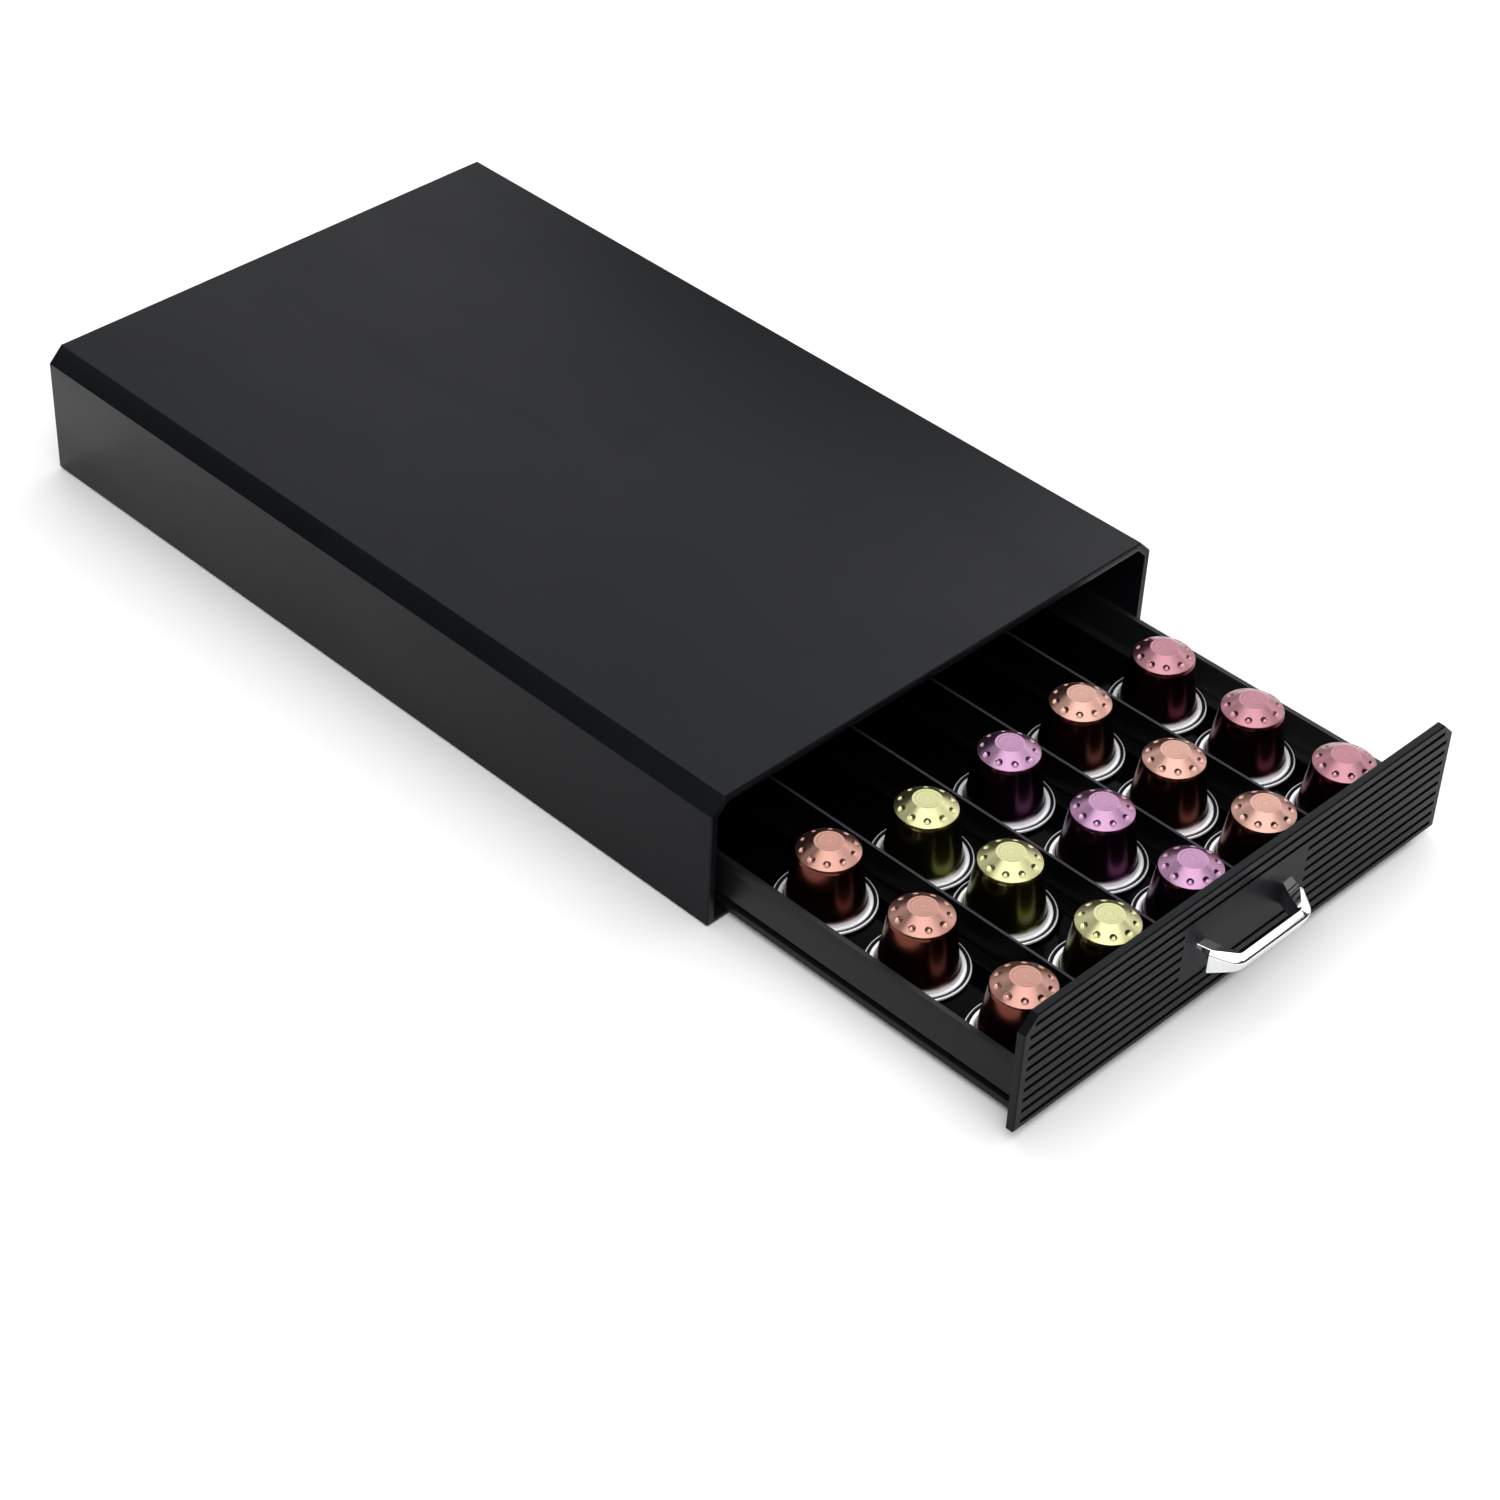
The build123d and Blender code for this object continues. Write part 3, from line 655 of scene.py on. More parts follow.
@dataclass(frozen=True)
class TintedAluminium(Finish):
    """Thin tinted aluminium with drawn lines on its wall and turned rings on its disc.

    Args:
        name: The material's name.
        tint: Its linear base colour.
        roughness: How soft the wall's reflections are.
        relief: The drawn lines' depth in millimetres.
        specular: Its specular level, where it isn't wholly metallic.
        disc_radius: How far out the crown's turned rings reach, in millimetres.
        ring_shade: How dark the tint is in the rings.
        crown_radius: How far out the crown reaches, in millimetres.
        crown_roughness: How soft the crown's reflections are.
        grain_shades: How dark the tint is in the satin grain's highs and lows.
        painted_wall_shade: How dark the wall's tint is painted beside the crown's: painted shade for
            the wall down in its dark channel.
        bare: The linear colour of the bare metal at the rim.
        bare_from: Where the tint starts to fade, as a radius in millimetres.
        bare_to: Where the metal is bare.
        bare_roughness: How soft the bare metal's reflections are.
        bare_metallic: How mirror-like the bare metal is; the rest of it scatters light.
        painted_groove_shade: The linear colour of the painted shade in the groove behind the rim's
            bead.
        groove_from: The groove's inner radius in millimetres.
        groove_to: The groove's outer radius in millimetres.
        soft: How far a tint fades at the disc's and the crown's edge, in millimetres.
        groove_soft: How far the groove's painted shade fades at each side, in millimetres.
        ring_mark: How strongly the rings show in the roughness, beside the lines.
        spread: How much the marks lower and raise the roughness.
    """

    name: str
    tint: Colour
    roughness: float = 0.235
    relief: float = 0.0012
    specular: float = 0.15
    disc_radius: float = 5.1
    ring_shade: float = 0.85
    crown_radius: float = 11.6
    crown_roughness: float = 0.325
    grain_shades: tuple[float, float] = (1.05, 0.97)
    painted_wall_shade: float = 0.34
    bare: Colour = (0.86, 0.86, 0.88)
    bare_from: float = 14.5
    bare_to: float = 15.2
    bare_roughness: float = 0.36
    bare_metallic: float = 0.35
    painted_groove_shade: Colour = (0.006, 0.006, 0.007)
    groove_from: float = 16.75
    groove_to: float = 18.0
    soft: float = 0.2
    groove_soft: float = 0.12
    ring_mark: float = 0.6
    spread: tuple[float, float] = (0.92, 1.12)

    def across(self, build: TreeBuilder, radius: Any, edge: float, soft: float) -> Any:
        """Fade from 0 to 1 as the radius passes an edge.

        Args:
            build: The material's builder.
            radius: The radius, in metres.
            edge: Where the fade starts, in millimetres.
            soft: How far it runs, outwards or, below zero, inwards.

        Returns:
            The mask.
        """
        return build.ramp(radius, edge * MM, (edge + soft) * MM)

    def dress(self, build: TreeBuilder, shader: Any) -> None:
        """Wire the drawn lines and rings into colour, roughness and normal.

        Args:
            build: The material's builder.
            shader: Its Principled BSDF.
        """
        marks = Effect.place(build, "drawn_metal", line=1.0, ring=0.5, satin=0.14)
        radius = build.add("ShaderNodeAttribute", attribute_name=RADIUS_ATTRIBUTE).outputs["Fac"]
        disc = self.across(build, radius, self.disc_radius, -self.soft)
        crown = self.across(build, radius, self.crown_radius, -self.soft)
        bare = self.across(build, radius, self.bare_from, self.bare_to - self.bare_from)
        # Painted shade: the groove behind the bead is darkened towards a near-black tint.
        fade = self.groove_soft
        groove = build.math(
            "MULTIPLY",
            self.across(build, radius, self.groove_from - fade / 2, fade),
            self.across(build, radius, self.groove_to + fade / 2, -fade),
        )
        rings = build.math("MULTIPLY", build.ramp(marks["Rings"], 0.6, 0.4), disc)
        paler, duller = (scaled(self.tint, shade) for shade in self.grain_shades)
        colour = build.mix_colour(build.ramp(marks["Grain"], 0.35, 0.65), paler, duller)
        colour = build.mix_colour(rings, colour, scaled(self.tint, self.ring_shade))
        # Painted shade: the wall below the crown gets a darker, deeper copy of the crown's tint.
        wall = tuple(value**2 / max(self.tint) * self.painted_wall_shade for value in self.tint)
        colour = build.mix_colour(crown, wall, colour)
        colour = build.mix_colour(bare, colour, self.bare)
        colour = build.mix_colour(groove, colour, self.painted_groove_shade)
        tinted = build.math("SUBTRACT", 1.0, bare)
        both = build.math("ADD", marks["Lines"], build.math("MULTIPLY", rings, self.ring_mark))
        both = build.math("MULTIPLY", both, tinted)
        base = build.ramp(crown, 0.0, 1.0, self.roughness, self.crown_roughness)
        rough = build.math("MULTIPLY", base, build.ramp(both, 0.5, 1.1, *self.spread))
        softer = build.math("MULTIPLY", bare, self.bare_roughness / self.roughness - 1.0)
        rough = build.math("MULTIPLY_ADD", rough, softer, rough)
        self.wire(build, shader, colour, rough, both, self.relief)
        metallic = build.ramp(bare, 0.0, 1.0, 1.0, self.bare_metallic)
        build.feed(shader.inputs["Metallic"], metallic)
        shader.inputs["Specular IOR Level"].default_value = self.specular


@dataclass(frozen=True)
class PlatedMetal(Finish):
    """Polished plating or plain screw steel.

    Args:
        name: The material's name.
        tint: Its linear base colour.
        roughness: How soft its reflections are.
        mark: How much rougher its smears are.
        ripple: The depth of the casting's faint waviness, in millimetres.
        wave: The waviness's size in millimetres.
        patch: The size of its patches in millimetres.
        smear: The smears' size in millimetres.
        dust: The specks' spacing in millimetres.
        dull: How much of the tint its smears keep.
    """

    name: str
    tint: Colour
    roughness: float
    mark: float
    ripple: float
    wave: float = 2.4
    patch: float = 14.0
    smear: float = 9.0
    dust: float = 1.2
    dull: float = 0.93

    def dress(self, build: TreeBuilder, shader: Any) -> None:
        """Wire smears into roughness and a faint waviness into the normal.

        Args:
            build: The material's builder.
            shader: Its Principled BSDF.
        """
        marks = Effect.place(build, "handling_marks", smear=self.smear, dust=self.dust)
        grain = Effect.place(build, "moulded_grain", grain=self.wave, ripple=self.patch)
        colour = build.mix_colour(marks["Smears"], self.tint, scaled(self.tint, self.dull))
        rough = build.math("MULTIPLY_ADD", marks["Smears"], self.mark, self.roughness)
        self.wire(build, shader, colour, rough, grain["Height"], self.ripple)
        shader.inputs["Metallic"].default_value = 1.0


HOUSING_PLASTIC = MouldedPlastic(
    "housing_plastic", (0.0036, 0.0042, 0.0056), roughness=0.34, specular=0.112
)
PANEL_PLASTIC = MouldedPlastic(
    "panel_plastic", (0.0038, 0.0042, 0.0054), roughness=0.36, specular=0.108
)
TRAY_PLASTIC = MouldedPlastic(
    "tray_plastic", (0.0062, 0.0066, 0.0070), roughness=0.38, specular=0.2
)
RUNNER_PLASTIC = MouldedPlastic(
    "runner_plastic",
    (0.003, 0.003, 0.0034),
    roughness=0.5,
    specular=0.1,
    grain=0.6,
    relief=0.015,
)
CHANNEL_PLASTIC = MouldedPlastic(
    "channel_plastic",
    (0.0003, 0.0003, 0.0007),
    roughness=0.1,
    specular=0.025,
    mark=0.06,
    grain=1.4,
    relief=0.002,
)
DIVIDER_PLASTIC = MouldedPlastic(
    "divider_plastic",
    (0.0006, 0.0006, 0.0010),
    roughness=0.32,
    specular=0.1,
    mark=0.06,
    grain=0.8,
    relief=0.003,
    # Its top edge carries a painted highlight.
    painted_sheen_from=24.9,
)
FOOT_RUBBER = MouldedPlastic(
    "foot_rubber",
    (0.012, 0.012, 0.012),
    roughness=0.72,
    specular=0.3,
    mark=0.08,
    grain=0.7,
    relief=0.03,
)
HANDLE_CHROME = PlatedMetal(
    "handle_chrome", (0.86, 0.87, 0.88), roughness=0.06, mark=0.05, ripple=0.003
)
SCREW_STEEL = PlatedMetal(
    "screw_steel", (0.42, 0.42, 0.43), roughness=0.32, mark=0.1, ripple=0.01
)
FOIL_LID = TintedAluminium("pod_foil", (0.8, 0.8, 0.81), roughness=0.34, relief=0.02)


# ------------------------------------------------------------------------------ softened pieces
@dataclass
class Softener:
    """Makes copies of CAD mouldings with their edges broken.

    Args:
        body: The CAD body that the copies ride on.
        strips: How many strips each rounding has.
        flat_degrees: Faces that meet at less than this are joined first.
        edge_degrees: Edges that turn more than this are broken.
    """

    body: str
    strips: int = 2
    flat_degrees: float = 0.5
    edge_degrees: float = 25.0

    def copy(self, node: str, slot: str, finish: Finish, edge: float) -> bpy.types.Object:
        """Copy a node, round its edges and put the copy in its place.

        Args:
            node: The CAD node.
            slot: The record's material slot; it is not used.
            finish: The finish it gets.
            edge: The rounding's width in millimetres.

        Returns:
            The new piece.
        """
        shape = bmesh.new()
        shape.from_mesh(bpy.data.objects[node].data)
        bmesh.ops.remove_doubles(shape, verts=shape.verts, dist=MERGE)
        flat = math.radians(self.flat_degrees)
        bmesh.ops.dissolve_limit(shape, angle_limit=flat, verts=shape.verts, edges=shape.edges)
        mesh = bpy.data.meshes.new(f"{node}_moulding")
        shape.to_mesh(mesh)
        shape.free()
        mesh.shade_smooth()
        piece = new_object(mesh.name, mesh)
        bevel = piece.modifiers.new("broken_edges", "BEVEL")
        bevel.width = edge * MM
        bevel.segments = self.strips
        bevel.limit_method = "ANGLE"
        bevel.angle_limit = math.radians(self.edge_degrees)
        bevel.miter_outer = "MITER_ARC"
        bevel.harden_normals = True
        settle(piece)
        finish.apply(piece)
        return seat(piece, node, self.body)


# --------------------------------------------------------------------------------------- screws
@dataclass
class ScrewMaker:
    """Makes cross-head screws and sets one on each CAD screw.

    Sizes are in millimetres.  The shank runs along the template's +Z from the head's bearing
    face, or from its flat face when it is countersunk.
    """

    shank_radius: float = 1.1
    pan_radius: float = 2.4
    pan_height: float = 1.2
    pan_round: float = 0.9
    pan_land: float = 0.3
    flat_radius: float = 1.9
    flat_land: float = 0.12
    arm_width: float = 0.42
    arm_length: float = 1.15
    recess_depth: float = 0.8
    recess_lip: float = 0.05
    lip_share: float = 0.92
    floor_share: float = 0.55
    point_length: float = 0.6
    point_share: float = 0.55
    sides: int = 40
    crease_degrees: float = 30.0
    tree: GeometryTree = field(init=False)

    def __post_init__(self) -> None:
        """Build the tree that puts a screw on each point."""
        self.tree = GeometryTree(
            "fastened_screws",
            {"Screw": "NodeSocketObject", "Twist": "NodeSocketFloat", "Finish": "NodeSocketMaterial"},
        )
        build, given = self.tree.build, self.tree.given
        facing = build.add(
            "GeometryNodeInputNamedAttribute", {"Name": "facing"}, data_type="FLOAT_VECTOR"
        )
        aim = build.add(
            "FunctionNodeAlignRotationToVector", {"Vector": facing.outputs[0]}, axis="Z"
        )
        spin = build.add(
            "FunctionNodeRandomValue",
            {"Min": 0.0, "Max": given["Twist"], "Seed": 4},
            data_type="FLOAT",
        )
        twist = build.add("FunctionNodeAxisAngleToRotation", {"Angle": spin.outputs[1]})
        turned = build.add(
            "FunctionNodeRotateRotation",
            {0: aim.outputs[0], 1: twist.outputs[0]},
            rotation_space="LOCAL",
        )
        template = build.add("GeometryNodeObjectInfo", {"Object": given["Screw"]})
        placed = build.add(
            "GeometryNodeInstanceOnPoints",
            {
                "Points": given["Geometry"],
                "Instance": template.outputs["Geometry"],
                "Rotation": turned.outputs[0],
            },
        )
        self.tree.close(placed.outputs[0])

    def cross(self, angle: float, scale: float) -> float:
        """Measure the cross recess.

        Args:
            angle: The way from the recess's middle, in radians.
            scale: How large this level of the recess is beside its mouth.

        Returns:
            How far the recess reaches that way, in millimetres.
        """
        off = abs((angle + math.pi / 4) % (math.pi / 2) - math.pi / 4)
        arm, half = self.arm_length * scale, self.arm_width * scale
        if off < math.atan2(half, arm):
            return arm / math.cos(off)
        return half / math.sin(off)

    def angles(self) -> list[float]:
        """Return the angles of a ring's points, the recess's corners among them."""
        corner = math.atan2(self.arm_width, self.arm_length)
        angles = {math.tau * n / self.sides for n in range(self.sides)}
        for quarter in range(4):
            angles |= {(quarter * math.pi / 2 + side * corner) % math.tau for side in (-1, 1)}
            angles.add(quarter * math.pi / 2 + math.pi / 4)
        return sorted({round(angle, ANGLE_DIGITS) for angle in angles})

    def levels(self, length: float, countersunk: bool) -> list[list[Point2]]:
        """List the screw's rings, from the recess's floor round the head to the point.

        Args:
            length: The shank's length from the bearing face, in millimetres.
            countersunk: Whether the head is flat or a pan.

        Returns:
            Each ring's points, as their radii and heights.
        """
        if countersunk:
            face = 0.0
            head = [
                (self.flat_radius - self.flat_land, face),
                (self.flat_radius, face),
                (self.shank_radius, self.flat_radius - self.shank_radius),
            ]
        else:
            face = -self.pan_height
            crown = rounded(
                [
                    (self.pan_radius, 0.0, 0),
                    (self.pan_radius, face, self.pan_round),
                    (self.arm_length + self.pan_land, face, 0),
                ]
            )
            head = [*reversed(crown), (self.shank_radius, 0.0)]
        turns = self.angles()
        recess = (
            (self.floor_share, face + self.recess_depth),
            (self.lip_share, face + self.recess_lip),
            (1.0, face),
        )
        rings = [[(self.cross(turn, share), height) for turn in turns] for share, height in recess]
        tip = (self.shank_radius * self.point_share, length)
        for spot in (*head, (self.shank_radius, length - self.point_length), tip):
            rings.append([spot] * len(turns))
        return rings

    def template(self, length: float, countersunk: bool) -> bpy.types.Object:
        """Make one screw along +Z, its head towards -Z.

        Args:
            length: The shank's length from the bearing face, in millimetres.
            countersunk: Whether the head is flat or a pan.

        Returns:
            The template object, which the caller removes.
        """
        turns, rings = self.angles(), self.levels(length, countersunk)
        points = [
            scaled((radius * math.cos(turn), radius * math.sin(turn), height))
            for ring in rings
            for (radius, height), turn in zip(ring, turns)
        ]
        count = len(turns)
        faces = [
            (
                row * count + n,
                row * count + (n + 1) % count,
                (row + 1) * count + (n + 1) % count,
                (row + 1) * count + n,
            )
            for row in range(len(rings) - 1)
            for n in range(count)
        ]
        faces.append(tuple(reversed(range(count))))
        faces.append(tuple((len(rings) - 1) * count + n for n in range(count)))
        mesh = bpy.data.meshes.new("screw_template")
        mesh.from_pydata(points, [], faces)
        shape = bmesh.new()
        shape.from_mesh(mesh)
        bmesh.ops.remove_doubles(shape, verts=shape.verts, dist=MERGE)
        bmesh.ops.recalc_face_normals(shape, faces=shape.faces)
        shape.to_mesh(mesh)
        shape.free()
        return new_object("screw_template", mesh)

    def fasten(self, node: str, body: str, way: Vector, countersunk: bool) -> bpy.types.Object:
        """Put a modelled screw in place of each solid of a screws node.

        Args:
            node: The CAD node that holds the screws.
            body: The body they ride on.
            way: The way each shank points from its head.  Along X it points outwards.
            countersunk: Whether the heads are flat.

        Returns:
            The new piece.
        """
        axis = max(range(3), key=lambda n: abs(way[n]))
        head = 0.0 if countersunk else self.pan_height * MM
        heads, facings, length = [], [], 0.0
        for low, high in islands(node):
            facing = way.copy()
            if axis == 0:
                facing *= math.copysign(1.0, low.x + high.x)
            bearing = (low + high) / 2
            start = low[axis] if facing[axis] > 0 else high[axis]
            bearing[axis] = start + math.copysign(head, facing[axis])
            length = (high[axis] - low[axis] - head) / MM
            heads.append(bearing)
            facings.append(facing)
        mesh = bpy.data.meshes.new(node)
        mesh.from_pydata(heads, [], [])
        facing_data = mesh.attributes.new("facing", "FLOAT_VECTOR", "POINT")
        for entry, facing in zip(facing_data.data, facings):
            entry.vector = facing
        piece = new_object(f"{node}_crosshead", mesh)
        template = self.template(length, countersunk)
        steel = SCREW_STEEL.material()
        self.tree.run(piece, self.crease_degrees, Screw=template, Twist=math.tau, Finish=steel)
        discard(template)
        return seat(piece, node, body)


# -------------------------------------------------------------------------------------- housing
@dataclass
class Housing:
    """The housing: shell, base, back, runners, screws and feet.

    Each edge is how wide a rounding its pieces get, in millimetres.
    """

    body: str = "housing"
    shell_edge: float = 0.45
    plate_edge: float = 0.25
    runner_edge: float = 0.25

    def build(self, screws: ScrewMaker) -> None:
        """Make and dress every piece of the housing.

        Args:
            screws: The maker of the screws.
        """
        soft = Softener(self.body)
        soft.copy("housing_shell", "housing_plastic", HOUSING_PLASTIC, self.shell_edge)
        for plate in ("housing_base", "housing_back"):
            soft.copy(plate, "housing_plastic", HOUSING_PLASTIC, self.plate_edge)
        for side in ("left", "right"):
            soft.copy(f"{side}_runner", "runner_plastic", RUNNER_PLASTIC, self.runner_edge)
            for end in ("front", "rear"):
                FOOT_RUBBER.show(f"{end}_{side}_foot")
        screws.fasten("base_screws", self.body, Vector((0, 0, 1)), countersunk=True)
        screws.fasten("runner_screws", self.body, Vector((1, 0, 0)), countersunk=True)


# ----------------------------------------------------------------------------------------- tray
@dataclass
class Tray:
    """The tray: sides, front and back walls, floor, dividers, stop tabs and screws.

    Each edge is how wide a rounding its pieces get, in millimetres.
    """

    body: str = "drawer"
    wall_edge: float = 0.22
    divider_edge: float = 0.2
    divider_count: int = 4

    def build(self, screws: ScrewMaker) -> None:
        """Make and dress every piece of the tray.

        Args:
            screws: The maker of the screws.
        """
        soft = Softener(self.body)
        for wall in ("left_side", "right_side", "front", "back"):
            soft.copy(f"tray_{wall}", "tray_plastic", TRAY_PLASTIC, self.wall_edge)
        soft.copy("tray_floor", "channel_plastic", CHANNEL_PLASTIC, self.wall_edge)
        for number in range(1, self.divider_count + 1):
            divider = f"divider_{number}"
            soft.copy(divider, "channel_plastic", DIVIDER_PLASTIC, self.divider_edge)
        for side in ("left", "right"):
            RUNNER_PLASTIC.show(f"{side}_stop_tab")
        screws.fasten("tray_screws", self.body, Vector((0, 0, 1)), countersunk=False)
        screws.fasten("panel_screws", self.body, Vector((0, -1, 0)), countersunk=False)


# ------------------------------------------------------------------------------ panel and handle
@dataclass
class Front:
    """The grooved front panel and its cast handle.

    Sizes are in millimetres.  The handle follows five-cornered sections: at each foot, where
    each leg bends, and where the bar starts.  A section's corners run from its inner top over
    the ridge and round to its inner bottom, and their heights are above the handle's lowest
    point.
    """

    body: str = "drawer"
    foot_outer: float = 25.5
    foot_width: float = 4.9
    foot_draft: float = 0.1
    leg_bend: float = 5.4
    bend_facet: float = 1.813
    bar_inner: float = 15.6
    bar_outer: float = 19.8
    bar_gap: float = 11.1
    reach: float = 15.0
    foot_heights: tuple[float, ...] = (9.6, 10.0, 8.2, 0.0, 0.0)
    bend_heights: tuple[float, ...] = (8.4, 9.4, 8.2, 0.04, 0.4)
    bar_heights: tuple[float, ...] = (7.76, 8.0, 6.24, 1.2, 1.2)
    bar_shares: tuple[float, ...] = (0.0, 0.22, 1.0, 0.5, 0.0)
    foot_round: float = 0.8
    bend_rounds: tuple[float, ...] = (1.2, 3.4, 7.0, 7.0, 1.2)
    bend_steps: int = 8
    corner_rounds: tuple[float, ...] = (0.35, 0.5, 1.25, 0.6, 0.35)
    corner_steps: int = 6
    run_pieces: int = 3
    crease_degrees: float = 50.0
    shading_weight: int = 90

    @staticmethod
    def section(
        start: Point2, way: Point2, shares: tuple[float, ...], heights: tuple[float, ...]
    ) -> list[Vector]:
        """Place the corners of one section of the handle.

        Args:
            start: Its inner edge, as how far it is from the middle and from the panel.
            way: The way from its inner edge to its outer one.
            shares: How far along that way each corner is.
            heights: How high each corner is.

        Returns:
            The corners.
        """
        return [
            Vector((start[0] + share * way[0], start[1] + share * way[1], height))
            for share, height in zip(shares, heights)
        ]

    def stations(self) -> list[list[Vector]]:
        """Place the handle's sections.

        Returns:
            The corners of each section, from the left foot to the right.
        """
        foot_inner = self.foot_outer - self.foot_width
        bend_inner = foot_inner + (self.bar_inner - foot_inner) * self.leg_bend / self.bar_gap
        bend_width = self.foot_outer - self.foot_draft - bend_inner
        facet_share = 1.0 - self.bend_facet / bend_width
        across, along = self.bar_outer - self.bar_inner, self.reach - self.bar_gap
        half = [
            self.section(
                (foot_inner, 0.0), (self.foot_width, 0.0), (0, 1, 1, 1, 0), self.foot_heights
            ),
            self.section(
                (bend_inner, self.leg_bend),
                (bend_width, 0.0),
                (0, facet_share, 1, 1, 0),
                self.bend_heights,
            ),
            self.section(
                (self.bar_inner, self.bar_gap), (across, along), self.bar_shares, self.bar_heights
            ),
        ]
        mirrored = [[Vector((-p.x, p.y, p.z)) for p in corners] for corners in half]
        return mirrored + list(reversed(half))

    def parted(self, path: list[Vector]) -> list[Vector]:
        """Cut every straight piece of a path into shorter ones.

        Args:
            path: The path's points.

        Returns:
            The same points, with more between them.
        """
        made = [path[0]]
        for start, end in zip(path, path[1:]):
            for step in range(1, self.run_pieces + 1):
                made.append(start.lerp(end, step / self.run_pieces))
        return made

    def casting(self) -> list[list[Vector]]:
        """Run the sections round the handle's bends and round their corners.

        Returns:
            The casting's rings of points, from the left foot to the right.
        """
        stations = self.stations()
        paths = []
        for n, bend in enumerate(self.bend_rounds):
            radii = (self.foot_round, bend, bend, self.foot_round)
            path = bent([section[n] for section in stations], radii, self.bend_steps)
            paths.append(self.parted(path))
        return [
            bent([ring[-1], *ring, ring[0]], self.corner_rounds, self.corner_steps, ends=False)
            for ring in zip(*paths)
        ]

    def build_handle(self) -> None:
        """Cast the handle: a skin over its rings, closed at both feet."""
        low_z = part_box("handle")[0].z
        face_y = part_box("front_panel")[0].y
        shape = bmesh.new()
        rings = [
            [shape.verts.new((p.x * MM, face_y - p.y * MM, low_z + p.z * MM)) for p in ring]
            for ring in self.casting()
        ]
        count = len(rings[0])
        for first, second in zip(rings, rings[1:]):
            for n in range(count):
                m = (n + 1) % count
                shape.faces.new((first[n], first[m], second[m], second[n]))
        shape.faces.new(rings[0])
        shape.faces.new(rings[-1])
        bmesh.ops.recalc_face_normals(shape, faces=shape.faces)
        mesh = bpy.data.meshes.new("handle_casting")
        shape.to_mesh(mesh)
        shape.free()
        mesh.shade_smooth()
        mesh.set_sharp_from_angle(angle=math.radians(self.crease_degrees))
        piece = new_object("handle_casting", mesh)
        even = piece.modifiers.new("even_shading", "WEIGHTED_NORMAL")
        even.keep_sharp = True
        even.weight = self.shading_weight
        settle(piece)
        HANDLE_CHROME.apply(piece)
        seat(piece, "handle", self.body)

    def build(self, screws: ScrewMaker) -> None:
        """Make and dress the panel, the handle and the handle's screws.

        Args:
            screws: The maker of the screws.
        """
        PANEL_PLASTIC.show("front_panel")
        self.build_handle()
        screws.fasten("handle_screws", self.body, Vector((0, -1, 0)), countersunk=False)


